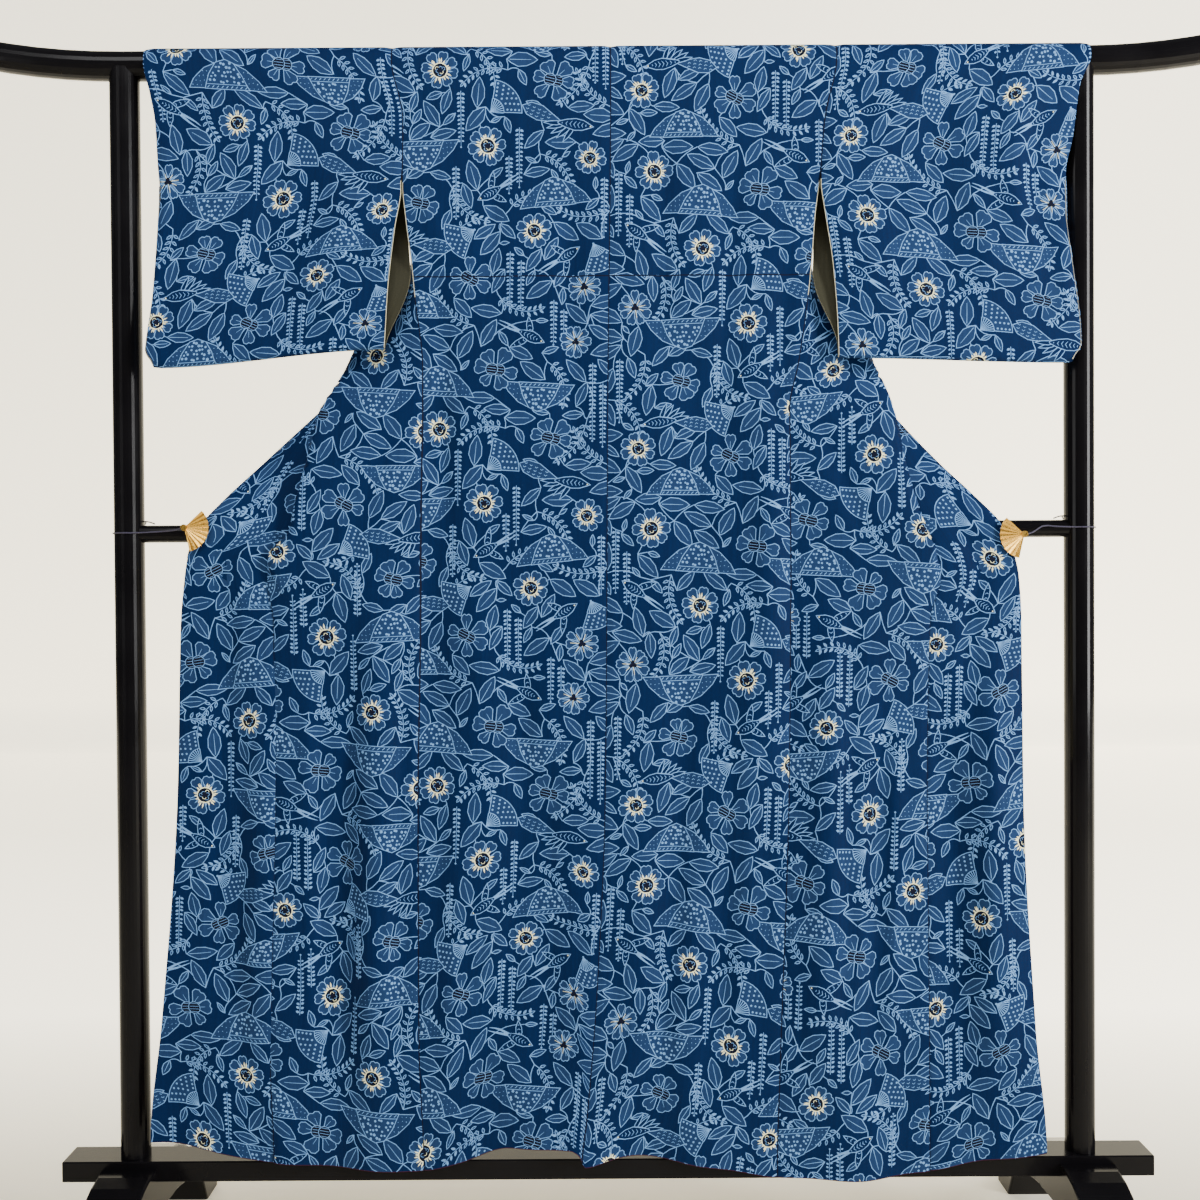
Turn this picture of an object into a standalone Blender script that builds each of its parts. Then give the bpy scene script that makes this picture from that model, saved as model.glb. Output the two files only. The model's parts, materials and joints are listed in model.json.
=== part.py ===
"""A lined kimono hung over the bar of a black lacquered stand, seen from its back.

Metres, +Z up. The back of the garment faces -Y, X runs to its right sleeve,
and the origin is on the floor in the middle of the stand.
"out" is the distance from the middle plane towards a side, "drop" the
distance below the top fold of the cloth.
"""

import math

import bmesh
import bpy
from mathutils import Vector

# Stand
BAR_RADIUS = 0.0195
BAR_HALF_LENGTH = 0.89
BAR_STRAIGHT_HALF = 0.66
BAR_UPSWEEP = 0.5
BAR_END_STEPS = 6
POST_RADIUS = 0.020
POST_OUT = 0.6565
RAIL_RADIUS = 0.012
RAIL_HEIGHT = 1.021
BEAM_HALF_LENGTH = 0.75
BEAM_DEPTH = 0.0477
BEAM_HEIGHT = 0.028
BEAM_TOP = 0.159
BEAM_EDGE = 0.0015
FOOT_WIDTH = 0.074
FOOT_HALF_LENGTH = 0.235
FOOT_SHOULDER = 0.149
FOOT_TOE_HEIGHT = 0.018
FOOT_ARCH_HEIGHT = 0.085
FOOT_PAD_LENGTH = 0.05
FOOT_CURVE = 1.25
FOOT_STEPS = 10
FOOT_EDGE = 0.003

# Cloth
WALL = 0.002
COLLAR_WALL = 0.003
GAP = 0.0003
CLOTH_TOP = 1.687
FOLD_RADIUS = 0.0217
BAR_AXIS = CLOTH_TOP - FOLD_RADIUS - WALL / 2
NECK_HALF_WIDTH = 0.088
NECK_DROP = 0.037
SLEEVE_SEAM_DROP = 0.238
SIDE_SEAM_DROP = 0.347
HEM_DROP = 1.523
RIDGE_GAP = 0.0004
OKUMI_TUCK = 0.004
STEP_BACK = WALL + 0.0007
BULGE_SHARE = 0.47
TURN_SHARE = 0.55

# The hem is level with the rings of points above this drop
HEM_LEVEL_DROP = 0.95

# Hanging waves: height, how fast they run across and where they start
WAVES = ((0.0042, 31.0, 0.6), (0.0012, 12.0, 1.0))
SLANTED_WAVE = (0.0022, 57.0, 2.1, 1.4)
CENTRE_RIDGE = 0.012
CENTRE_RIDGE_WIDTH = 0.03

# Heights of the rings of points that every panel shares
DROPS = (
    0.0235, 0.07, 0.105, 0.15, 0.194, 0.238, 0.282, 0.315, 0.347, 0.39,
    0.44, 0.475, 0.501, 0.54, 0.577, 0.62, 0.666, 0.70, 0.73, 0.789,
    0.87, 0.95, 1.035, 1.14, 1.245, 1.35, 1.44, 1.523,
)  # fmt: skip
NECK_COLUMNS = 3
SHOULDER_COLUMNS = 10
OKUMI_COLUMNS = 4
FOLD_STEPS = 6


class Table:
    """Rows of named columns, read as smooth curves that never leave their rows' range."""

    def __init__(self, names, *rows):
        self.names = names.split()
        self.rows = rows

    def at(self, name, key):
        column = self.names.index(name)
        keys = [row[0] for row in self.rows]
        values = [row[column] for row in self.rows]
        if key <= keys[0]:
            return values[0]
        if key >= keys[-1]:
            return values[-1]
        i = max(k for k in range(len(keys) - 1) if keys[k] <= key)
        span = keys[i + 1] - keys[i]
        start, end = self.slope(keys, values, i), self.slope(keys, values, i + 1)
        t = (key - keys[i]) / span
        return (
            values[i] * (1 + 2 * t) * (1 - t) ** 2
            + values[i + 1] * t * t * (3 - 2 * t)
            + span * t * (1 - t) * (start * (1 - t) - end * t)
        )

    @staticmethod
    def slope(keys, values, i):
        if i == 0 or i == len(keys) - 1:
            return 0.0
        before = (values[i] - values[i - 1]) / (keys[i] - keys[i - 1])
        after = (values[i + 1] - values[i]) / (keys[i + 1] - keys[i])
        if before * after <= 0:
            return 0.0
        return 2 * before * after / (before + after)


# Where the seams run on each side: the side seam, the soft fold that the front
# makes over the okumi, the okumi seam and the front edge
OUTLINE = {
    "left": Table(
        "drop side fold seam edge",
        (0.0235, 0.2853, 0.177, 0.088, 0.088),
        (0.105, 0.2703, 0.180, 0.094, 0.094),
        (0.194, 0.2718, 0.205, 0.122, 0.122),
        (0.238, 0.2680, 0.237, 0.160, 0.156),
        (0.30, 0.2605, 0.290, 0.203, 0.212),
        (0.347, 0.2560, 0.325, 0.240, 0.260),
        (0.44, 0.2460, 0.356, 0.277, 0.346),
        (0.501, 0.2463, 0.3895, 0.333, 0.4045),
        (0.577, 0.2480, 0.4065, 0.383, 0.4775),
        (0.62, 0.2490, 0.417, 0.405, 0.519),
        (0.666, 0.2497, 0.4265, 0.4235, 0.556),
        (0.70, 0.2503, 0.455, 0.4585, 0.568),
        (0.73, 0.2505, 0.445, 0.459, 0.5725),
        (0.789, 0.2512, 0.400, 0.451, 0.578),
        (1.035, 0.2557, 0.372, 0.4535, 0.585),
        (1.35, 0.2560, 0.374, 0.4605, 0.607),
        (1.523, 0.2500, 0.372, 0.4550, 0.6227),
    ),
    "right": Table(
        "drop side fold seam edge",
        (0.0235, 0.3201, 0.193, 0.088, 0.088),
        (0.105, 0.3038, 0.200, 0.094, 0.094),
        (0.194, 0.2957, 0.225, 0.122, 0.122),
        (0.238, 0.2900, 0.257, 0.160, 0.156),
        (0.30, 0.2850, 0.305, 0.210, 0.219),
        (0.347, 0.2800, 0.342, 0.258, 0.276),
        (0.44, 0.2655, 0.3765, 0.297, 0.362),
        (0.501, 0.2530, 0.3975, 0.345, 0.4035),
        (0.577, 0.2530, 0.411, 0.388, 0.465),
        (0.62, 0.2530, 0.421, 0.409, 0.505),
        (0.666, 0.2530, 0.4355, 0.4325, 0.5435),
        (0.70, 0.2530, 0.449, 0.452, 0.557),
        (0.73, 0.2530, 0.445, 0.4585, 0.5635),
        (0.789, 0.2525, 0.400, 0.4435, 0.567),
        (1.035, 0.2490, 0.365, 0.4385, 0.568),
        (1.35, 0.2360, 0.362, 0.4395, 0.583),
        (1.523, 0.2300, 0.360, 0.4395, 0.599),
    ),
}

# How far behind the bar's middle plane each of those lines hangs
DEPTH = Table(
    "drop side bulge fold turn seam edge",
    (0.0235, 0.0217, 0.0217, 0.0217, 0.0217, 0.0217, 0.0217),
    (0.05, 0.0222, 0.024, 0.026, 0.026, 0.0245, 0.0245),
    (0.105, 0.0235, 0.038, 0.052, 0.052, 0.045, 0.045),
    (0.194, 0.0235, 0.055, 0.085, 0.090, 0.075, 0.075),
    (0.238, 0.0200, 0.056, 0.100, 0.112, 0.098, 0.102),
    (0.30, -0.0050, 0.035, 0.085, 0.105, 0.092, 0.105),
    (0.347, -0.0205, 0.006, 0.048, 0.082, 0.072, 0.095),
    (0.44, -0.0225, -0.016, 0.002, 0.026, 0.026, 0.055),
    (0.501, -0.0228, -0.024, -0.014, 0.002, 0.006, 0.028),
    (0.577, -0.0232, -0.029, -0.028, -0.013, -0.011, 0.000),
    (0.62, -0.0234, -0.031, -0.034, -0.021, -0.019, -0.016),
    (0.66, -0.0236, -0.033, -0.037, -0.026, -0.025, -0.027),
    (0.70, -0.0240, -0.033, -0.037, -0.031, -0.029, -0.028),
    (0.789, -0.0245, -0.031, -0.033, -0.031, -0.029, -0.028),
    (1.523, -0.0350, -0.038, -0.037, -0.036, -0.036, -0.037),
)

CENTRE_SEAM = Table(
    "drop x",
    (0.0, 0.0127),
    (0.49, 0.0059),
    (1.035, -0.0010),
    (1.285, -0.0133),
    (1.46, -0.0283),
    (1.523, -0.0352),
)

# Height of the hem above the floor, by distance from the middle
HEM = {
    "left": Table(
        "out z",
        (0.02, 0.158),
        (0.05, 0.180),
        (0.13, 0.180),
        (0.20, 0.161),
        (0.26, 0.151),
        (0.34, 0.153),
        (0.48, 0.166),
        (0.62, 0.191),
    ),
    "right": Table(
        "out z",
        (-0.035, 0.157),
        (0.035, 0.167),
        (0.14, 0.153),
        (0.235, 0.137),
        (0.34, 0.136),
        (0.44, 0.144),
        (0.52, 0.161),
        (0.60, 0.167),
    ),
}

# Sleeve edges and the two layers of each sleeve
SLEEVE = {
    "left": Table(
        "drop inner outer",
        (0.0235, 0.2853, 0.6230),
        (0.07, 0.2775, 0.6135),
        (0.107, 0.2703, 0.6070),
        (0.1675, 0.2710, 0.6035),
        (0.199, 0.2720, 0.6010),
        (0.255, 0.2810, 0.6030),
        (0.341, 0.2905, 0.6080),
        (0.404, 0.2940, 0.6170),
        (0.44, 0.2963, 0.6200),
    ),
    "right": Table(
        "drop inner outer",
        (0.0235, 0.3201, 0.6660),
        (0.062, 0.3150, 0.6510),
        (0.136, 0.3000, 0.6400),
        (0.185, 0.2960, 0.6300),
        (0.237, 0.3020, 0.6300),
        (0.307, 0.3115, 0.6370),
        (0.40, 0.3170, 0.6460),
        (0.44, 0.3175, 0.6463),
    ),
}
SLEEVE_BOTTOM = {"left": (0.4165, 0.4400), "right": (0.4320, 0.4400)}
SLEEVE_LAYERS = Table(
    "drop near far",
    (0.0235, -0.0217, 0.0217),
    (0.105, -0.0228, 0.0235),
    (0.17, -0.0240, 0.0235),
    (0.23, -0.0265, 0.0190),
    (0.26, -0.0285, 0.0050),
    (0.29, -0.0300, -0.0090),
    (0.32, -0.0320, -0.0185),
    (0.347, -0.0335, -0.0240),
    (0.40, -0.0365, -0.0285),
    (0.44, -0.0385, -0.0300),
)
HAND_OPENING_DROP = 0.194
SLEEVE_LAST_DROP = 0.44
SEAM_CLEARANCE = 0.0005
SLEEVE_COLUMNS = 8
SLEEVE_CORNER = 0.012

# Collar: where it starts from the front edge, how wide it is there and how
# far its free edge leans from straight down towards the middle
COLLAR_NECK = Table(
    "out reach lean",
    (0.0, 0.055, 0.0),
    (0.03, 0.056, 10.0),
    (0.06, 0.064, 25.0),
    (0.082, 0.076, 35.0),
)
COLLAR_FRONT = Table(
    "drop start_out start_y reach lean rise",
    (0.045, -0.0026, 0.0, 0.078, 37.0, 0.04),
    (0.07, -0.0026, 0.0, 0.070, 43.0, 0.04),
    (0.105, -0.0026, 0.0, 0.060, 55.0, 0.04),
    (0.15, -0.0026, 0.0, 0.058, 62.0, 0.04),
    (0.20, -0.0024, 0.0006, 0.057, 62.0, 0.04),
    (0.238, -0.0010, 0.0032, 0.058, 60.0, 0.04),
    (0.30, 0.0005, 0.0034, 0.060, 55.0, 0.04),
    (0.44, 0.0010, 0.0034, 0.064, 50.0, -0.03),
    (0.50, 0.0010, 0.0034, 0.066, 50.0, -0.16),
    (0.577, 0.0010, 0.0034, 0.068, 51.0, -0.18),
    (0.62, 0.0010, 0.0034, 0.070, 54.0, -0.07),
    (0.666, 0.0010, 0.0034, 0.072, 58.0, 0.0),
    (0.70, 0.0010, 0.0034, 0.072, 60.0, 0.02),
)
COLLAR_STAND_OFF = 0.04
COLLAR_END_DROP = 0.70
COLLAR_COLUMNS = 3

# Clips and their cords
CLIP_OUT = 0.5695
CLIP_HEIGHT = {"left": 1.028, "right": 1.012}
FAN_RADIUS = 0.033
FAN_TOP = 43.0
FAN_BOTTOM = -77.0
FAN_PLEATS = 10
FAN_THICKNESS = 0.0012
PLEAT_DEPTH = 0.0011
FAN_Y = -0.0335
JAW_Y = -0.0176
JAW_RADIUS = 0.026
PIVOT_RADIUS = 0.0045
PLATE_START = 0.6 * PIVOT_RADIUS
JAW_STEPS = 4
CORD_RADIUS = 0.0009
CORD_POINTS = 46

SIDES = {"left": -1, "right": 1}


def clear_scene():
    for old in list(bpy.data.objects):
        bpy.data.objects.remove(old, do_unlink=True)


def make_material(name, colour, roughness, metallic=0.0):
    material = bpy.data.materials.new(name)
    material.use_nodes = True
    shader = material.node_tree.nodes["Principled BSDF"]
    shader.inputs["Base Color"].default_value = (*colour, 1.0)
    shader.inputs["Roughness"].default_value = roughness
    shader.inputs["Metallic"].default_value = metallic
    return material


def add_object(name, mesh, material):
    obj = bpy.data.objects.new(name, mesh)
    bpy.context.collection.objects.link(obj)
    mesh.materials.append(material)
    return obj


def mesh_from(name, points, faces):
    mesh = bpy.data.meshes.new(name)
    mesh.from_pydata([tuple(p) for p in points], [], faces)
    mesh.update()
    return mesh


def add_cloth(name, points, faces, wall, material):
    """A panel's middle surface, thickened evenly to both sides."""
    mesh = mesh_from(name, points, faces)
    face_outwards(mesh)
    mesh.shade_smooth()
    obj = add_object(name, mesh, material)
    solidify = obj.modifiers.new("wall", "SOLIDIFY")
    solidify.thickness = wall
    solidify.offset = 0.0
    solidify.use_even_offset = True
    solidify.use_quality_normals = True
    return obj


def add_row(points, row):
    """Adds a row of points and gives their numbers."""
    first = len(points)
    points.extend(row)
    return list(range(first, len(points)))


def skin(rows):
    """Faces between rows of point numbers that are equally long."""
    faces = []
    for low, high in zip(rows, rows[1:]):
        for i in range(len(low) - 1):
            faces.append((low[i], low[i + 1], high[i + 1], high[i]))
    return faces


def mix(a, b, t):
    return a + (b - a) * t


def ease(value, start, end):
    t = min(max((value - start) / (end - start), 0.0), 1.0)
    return t * t * (3 - 2 * t)


def hem_shift(side, out, drop):
    """How much a ring of points is raised or lowered so that the last one is the hem."""
    level = CLOTH_TOP - HEM_DROP
    return (HEM[side].at("z", out) - level) * ease(drop, HEM_LEVEL_DROP, HEM_DROP)


def wave(x, drop):
    """Soft hanging waves across the garment, growing from the clips to the hem."""
    growth = drop / HEM_DROP
    height, rate, start, slant = SLANTED_WAVE
    waves = height * math.sin(x * rate + start + slant * drop)
    for height, rate, start in WAVES:
        waves += height * math.sin(x * rate + start)
    middle = (x - CENTRE_SEAM.at("x", drop)) / CENTRE_RIDGE_WIDTH
    ridge = CENTRE_RIDGE * math.exp(-(middle**2)) * growth**5
    return waves * growth**2 - ridge


def smooth_path(stations, t):
    """Centripetal Catmull-Rom curve through the stations, t from 0 to their count less 1."""
    last = len(stations) - 1
    i = min(int(t), last - 1)
    t -= i
    p1, p2 = stations[i], stations[i + 1]
    p0 = stations[i - 1] if i > 0 else p1 + (p1 - p2)
    p3 = stations[i + 2] if i + 2 <= last else p2 + (p2 - p1)
    k0 = 0.0
    k1 = k0 + max((p1 - p0).length, 1e-6) ** 0.5
    k2 = k1 + max((p2 - p1).length, 1e-6) ** 0.5
    k3 = k2 + max((p3 - p2).length, 1e-6) ** 0.5
    k = mix(k1, k2, t)
    a1 = p0 * ((k1 - k) / (k1 - k0)) + p1 * ((k - k0) / (k1 - k0))
    a2 = p1 * ((k2 - k) / (k2 - k1)) + p2 * ((k - k1) / (k2 - k1))
    a3 = p2 * ((k3 - k) / (k3 - k2)) + p3 * ((k - k2) / (k3 - k2))
    b1 = a1 * ((k2 - k) / (k2 - k0)) + a2 * ((k - k0) / (k2 - k0))
    b2 = a2 * ((k3 - k) / (k3 - k1)) + a3 * ((k - k1) / (k3 - k1))
    return b1 * ((k2 - k) / (k2 - k1)) + b2 * ((k - k1) / (k2 - k1))


def front_path(side, drop):
    """The front's section at a drop: (out, y) from its side edge to its okumi seam."""
    out = {name: OUTLINE[side].at(name, drop) for name in ("side", "fold", "seam")}
    y = {name: DEPTH.at(name, drop) for name in ("side", "bulge", "fold", "turn", "seam")}
    clear = mix(-WALL / 2, 3 * GAP, ease(drop, SLEEVE_SEAM_DROP, SIDE_SEAM_DROP))
    return [
        Vector((out["side"] + clear, y["side"])),
        Vector((mix(out["side"], out["fold"], BULGE_SHARE), y["bulge"])),
        Vector((out["fold"], y["fold"])),
        Vector((mix(out["fold"], out["seam"], TURN_SHARE), y["turn"])),
        Vector((out["seam"], y["seam"])),
    ]


def hung(side, out, y, drop):
    """A point of the lower garment in the stand's frame, with the waves and the hem."""
    x = SIDES[side] * out
    z = CLOTH_TOP - drop + hem_shift(side, out, drop)
    return Vector((x, y + wave(x, drop), z))


def back_point(side, fraction, drop):
    """A point of the back, from the centre seam (0) to the side edge (1)."""
    sign = SIDES[side]
    centre = sign * CENTRE_SEAM.at("x", drop) + GAP / 2 + RIDGE_GAP * (drop / HEM_DROP) ** 3
    out = mix(centre, OUTLINE[side].at("side", drop), fraction)
    y = mix(-FOLD_RADIUS, DEPTH.at("side", HEM_DROP), (drop / HEM_DROP) ** 2)
    if drop >= SIDE_SEAM_DROP:
        y = mix(y, DEPTH.at("side", drop), fraction**4)
    return hung(side, out, y, drop)


def shoulder_fraction(side, column):
    """Where a column crosses the shoulder, as a share of the back's width."""
    if column <= NECK_COLUMNS:
        neck = NECK_HALF_WIDTH / OUTLINE[side].at("side", DROPS[0])
        return neck * column / NECK_COLUMNS
    start = shoulder_fraction(side, NECK_COLUMNS)
    return mix(start, 1.0, (column - NECK_COLUMNS) / SHOULDER_COLUMNS)


def front_point(side, column, drop):
    """A point of the front: column 0 is the neck or okumi seam, the last one the side."""
    share = 1 - column / SHOULDER_COLUMNS
    path = front_path(side, drop)
    spot = smooth_path(path, share * (len(path) - 1))
    if drop > SLEEVE_SEAM_DROP and share == 1:
        spot.x -= GAP / 2
    return hung(side, spot.x, spot.y, drop)


def over_bar(near, far, angle):
    """A point on the way over the bar, between the same column's ends on both sides."""
    x = mix(near.x, far.x, angle / math.pi)
    return Vector(
        (x, -FOLD_RADIUS * math.cos(angle), BAR_AXIS + FOLD_RADIUS * math.sin(angle))
    )


def make_body(side, material):
    """One length of cloth: back, over the bar, and front. The neck columns end at the collar."""
    columns = range(NECK_COLUMNS + SHOULDER_COLUMNS + 1)
    front_columns = range(SHOULDER_COLUMNS + 1)
    points = []
    rows = []
    for drop in reversed(DROPS):
        back = [back_point(side, shoulder_fraction(side, c), drop) for c in columns]
        rows.append(add_row(points, back))
    near = back
    far = [Vector((point.x, FOLD_RADIUS, point.z)) for point in near]
    for column in front_columns:
        far[NECK_COLUMNS + column].x = front_point(side, column, DROPS[0]).x
    for step in range(1, FOLD_STEPS):
        angle = math.pi * step / FOLD_STEPS
        rows.append(add_row(points, [over_bar(near[c], far[c], angle) for c in columns]))
    rows.append(add_row(points, far))
    neck_z = CLOTH_TOP - NECK_DROP
    neck = [Vector((point.x, FOLD_RADIUS, neck_z)) for point in far[:NECK_COLUMNS]]
    neck += [front_point(side, c, NECK_DROP) for c in front_columns]
    rows.append(add_row(points, neck))
    front = [rows[-1][NECK_COLUMNS:]]
    for drop in DROPS[1:]:
        front.append(add_row(points, [front_point(side, c, drop) for c in front_columns]))
    return add_cloth(f"body_{side}", points, skin(rows) + skin(front), WALL, material)


def okumi_edges(side, drop):
    """Both edges of the okumi at a drop, as (out, y)."""
    start = Vector(
        (OUTLINE[side].at("seam", drop) - OKUMI_TUCK, DEPTH.at("seam", drop) + STEP_BACK)
    )
    end = Vector((OUTLINE[side].at("edge", drop), DEPTH.at("edge", drop)))
    if drop <= SLEEVE_SEAM_DROP:
        start.x += OKUMI_TUCK
    return start, end


def make_okumi(side, material):
    points = []
    rows = []
    for drop in DROPS:
        if drop <= SLEEVE_SEAM_DROP:
            continue
        start, end = okumi_edges(side, drop)
        spots = [start.lerp(end, c / OKUMI_COLUMNS) for c in range(OKUMI_COLUMNS + 1)]
        rows.append(add_row(points, [hung(side, spot.x, spot.y, drop) for spot in spots]))
    return add_cloth(f"okumi_{side}", points, skin(rows), WALL, material)


def sleeve_point(side, column, drop, layer):
    """A point of the near or the far layer, from the sleeve seam (0) to the hand."""
    share = column / SLEEVE_COLUMNS
    inner_bottom, outer_bottom = SLEEVE_BOTTOM[side]
    bottom = mix(inner_bottom, outer_bottom, ease(share, 0.0, 1.0))
    free = (drop - SLEEVE_SEAM_DROP) / (SLEEVE_LAST_DROP - SLEEVE_SEAM_DROP)
    if free > 0:
        drop = mix(SLEEVE_SEAM_DROP, bottom, free)
    inner = SLEEVE[side].at("inner", drop) + SEAM_CLEARANCE
    if drop <= SLEEVE_SEAM_DROP:
        inner = max(inner, OUTLINE[side].at("side", drop) + 3 * SEAM_CLEARANCE)
    outer = SLEEVE[side].at("outer", drop)
    if free >= 1:
        outer -= SLEEVE_CORNER
    y = SLEEVE_LAYERS.at(layer, drop)
    x = SIDES[side] * mix(inner, outer, share)
    return Vector((x, y, CLOTH_TOP - drop))


def make_sleeve(side, material):
    """A bag over the bar, open at its inner end and at the hand."""
    drops = [drop for drop in DROPS if drop <= SLEEVE_LAST_DROP]
    columns = range(SLEEVE_COLUMNS + 1)
    near = [[sleeve_point(side, c, drop, "near") for c in columns] for drop in drops]
    far = [[sleeve_point(side, c, drop, "far") for c in columns] for drop in drops]
    points = []
    near_rows = [add_row(points, row) for row in near]
    fold_rows = []
    for step in range(1, FOLD_STEPS):
        angle = math.pi * step / FOLD_STEPS
        fold = [over_bar(near[0][c], far[0][c], angle) for c in columns]
        fold_rows.append(add_row(points, fold))
    far_rows = [add_row(points, row) for row in far]
    faces = skin(near_rows[::-1] + fold_rows + far_rows + near_rows[-1:])
    for i in range(len(drops) - 1):
        if drops[i] >= HAND_OPENING_DROP:
            low = (near_rows[i + 1][-1], far_rows[i + 1][-1])
            faces += skin([low, (near_rows[i][-1], far_rows[i][-1])])
    return add_cloth(f"sleeve_{side}", points, faces, WALL, material)


def collar_lines(side):
    """Pairs of points across the collar, from the middle of the neck to one end."""
    sign = SIDES[side]
    pairs = []
    neck_z = CLOTH_TOP - NECK_DROP - 2 * GAP
    for row in COLLAR_NECK.rows:
        out, reach, lean = row
        turn = math.radians(lean)
        start = Vector((sign * out, FOLD_RADIUS, neck_z))
        drift = Vector((-sign * math.sin(turn), COLLAR_STAND_OFF, -math.cos(turn)))
        pairs.append((start, start + drift * reach))
    drops = [row[0] for row in COLLAR_FRONT.rows[:2]]
    drops += [drop for drop in DROPS if drops[-1] < drop <= COLLAR_END_DROP]
    for drop in drops:
        edge = OUTLINE[side].at("edge", drop) + COLLAR_FRONT.at("start_out", drop)
        y = DEPTH.at("edge", drop) + COLLAR_FRONT.at("start_y", drop)
        turn = math.radians(COLLAR_FRONT.at("lean", drop))
        start = Vector((sign * edge, y, CLOTH_TOP - drop))
        rise = COLLAR_FRONT.at("rise", drop)
        drift = Vector((-sign * math.sin(turn), rise, -math.cos(turn)))
        end = start + drift * COLLAR_FRONT.at("reach", drop)
        start.y += wave(start.x, drop)
        end.y += wave(end.x, CLOTH_TOP - end.z)
        pairs.append((start, end))
    return pairs


def make_collar(material):
    points = []
    rows = []
    for start, end in collar_lines("left")[::-1] + collar_lines("right")[1:]:
        across = [start.lerp(end, c / COLLAR_COLUMNS) for c in range(COLLAR_COLUMNS + 1)]
        rows.append(add_row(points, across))
    return add_cloth("collar", points, skin(rows), COLLAR_WALL, material)


def make_tube(name, radius, path, material, sides=24):
    """A round bar along a path in the XZ plane or straight up, as one closed mesh."""
    points = []
    for i, centre in enumerate(path):
        before = path[max(i - 1, 0)]
        after = path[min(i + 1, len(path) - 1)]
        along = (after - before).normalized()
        across = Vector((0, 1, 0))
        up = along.cross(across)
        for k in range(sides):
            turn = 2 * math.pi * k / sides
            points.append(centre + (across * math.cos(turn) + up * math.sin(turn)) * radius)
    faces = []
    for ring in range(len(path) - 1):
        for k in range(sides):
            a = ring * sides + k
            b = ring * sides + (k + 1) % sides
            faces.append((a, b, b + sides, a + sides))
    faces.append(tuple(range(sides))[::-1])
    last = (len(path) - 1) * sides
    faces.append(tuple(range(last, last + sides)))
    mesh = mesh_from(name, points, faces)
    face_outwards(mesh)
    mesh.shade_smooth()
    mesh.set_sharp_from_angle(angle=math.radians(40))
    return add_object(name, mesh, material)


def face_outwards(mesh):
    work = bmesh.new()
    work.from_mesh(mesh)
    bmesh.ops.recalc_face_normals(work, faces=work.faces)
    work.to_mesh(mesh)
    work.free()


def bar_path():
    """Straight over the posts, with both ends swept up."""
    path = []
    for sign in (-1, 1):
        half = []
        for i in range(BAR_END_STEPS + 1):
            out = mix(BAR_STRAIGHT_HALF, BAR_HALF_LENGTH, i / BAR_END_STEPS)
            lift = BAR_UPSWEEP * (out - BAR_STRAIGHT_HALF) ** 2
            half.append(Vector((sign * out, 0, BAR_AXIS + lift)))
        path += half[::-1] if sign < 0 else half
    return path


def add_bevel(obj, width, segments=2):
    bevel = obj.modifiers.new("rounded_edges", "BEVEL")
    bevel.width = width
    bevel.segments = segments
    bevel.limit_method = "ANGLE"
    bevel.angle_limit = math.radians(50)


def cut_with(obj, cutter, operation="DIFFERENCE"):
    cutter.hide_render = True
    cutter.display_type = "WIRE"
    modifier = obj.modifiers.new(operation.lower(), "BOOLEAN")
    modifier.operation = operation
    modifier.object = cutter
    modifier.solver = "EXACT"


def make_post(side, bar_cutter, material):
    x = SIDES[side] * POST_OUT
    ends = [Vector((x, 0, BEAM_TOP + GAP)), Vector((x, 0, BAR_AXIS - BAR_RADIUS / 3))]
    post = make_tube(f"post_{side}", POST_RADIUS, ends, material, 32)
    cut_with(post, bar_cutter)
    return post


def make_rail(material):
    reach = POST_OUT - POST_RADIUS / 2
    ends = [Vector((-reach, 0, RAIL_HEIGHT)), Vector((reach, 0, RAIL_HEIGHT))]
    rail = make_tube("mid_rail", RAIL_RADIUS, ends, material, 20)
    for side, sign in SIDES.items():
        x = sign * POST_OUT
        low, high = RAIL_HEIGHT - 3 * RAIL_RADIUS, RAIL_HEIGHT + 3 * RAIL_RADIUS
        ends = [Vector((x, 0, low)), Vector((x, 0, high))]
        cutter = make_tube(f"rail_cutter_{side}", POST_RADIUS + GAP, ends, material, 32)
        cut_with(rail, cutter)
    return rail


def make_beam(material):
    mesh = bpy.data.meshes.new("base_beam")
    work = bmesh.new()
    bmesh.ops.create_cube(work, size=1.0)
    size = Vector((2 * BEAM_HALF_LENGTH, BEAM_DEPTH, BEAM_HEIGHT))
    bmesh.ops.scale(work, vec=size, verts=work.verts)
    middle = Vector((0, 0, BEAM_TOP - BEAM_HEIGHT / 2))
    bmesh.ops.translate(work, vec=middle, verts=work.verts)
    work.to_mesh(mesh)
    work.free()
    beam = add_object("base_beam", mesh, material)
    add_bevel(beam, BEAM_EDGE)
    return beam


def foot_profile():
    """Side outline of an arched foot with a notch that holds the beam."""
    notch = BEAM_DEPTH / 2 + GAP
    floor = BEAM_TOP - BEAM_HEIGHT - GAP
    top = []
    for i in range(FOOT_STEPS + 1):
        y = mix(notch, FOOT_HALF_LENGTH, i / FOOT_STEPS)
        share = (y - notch) / (FOOT_HALF_LENGTH - notch)
        fall = (1 - math.cos(math.pi * share**FOOT_CURVE)) / 2
        top.append((y, mix(FOOT_SHOULDER, FOOT_TOE_HEIGHT, fall)))
    arch = []
    inner = FOOT_HALF_LENGTH - FOOT_PAD_LENGTH
    for i in range(FOOT_STEPS + 1):
        y = inner * (1 - i / FOOT_STEPS)
        arch.append((y, FOOT_ARCH_HEIGHT * math.sqrt(max(1 - (y / inner) ** 2, 0.0))))
    half = [(notch, floor)] + top + [(FOOT_HALF_LENGTH, 0.0)] + arch
    mirrored = [(-y, z) for y, z in half[:-1]]
    return half + mirrored[::-1]


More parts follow.
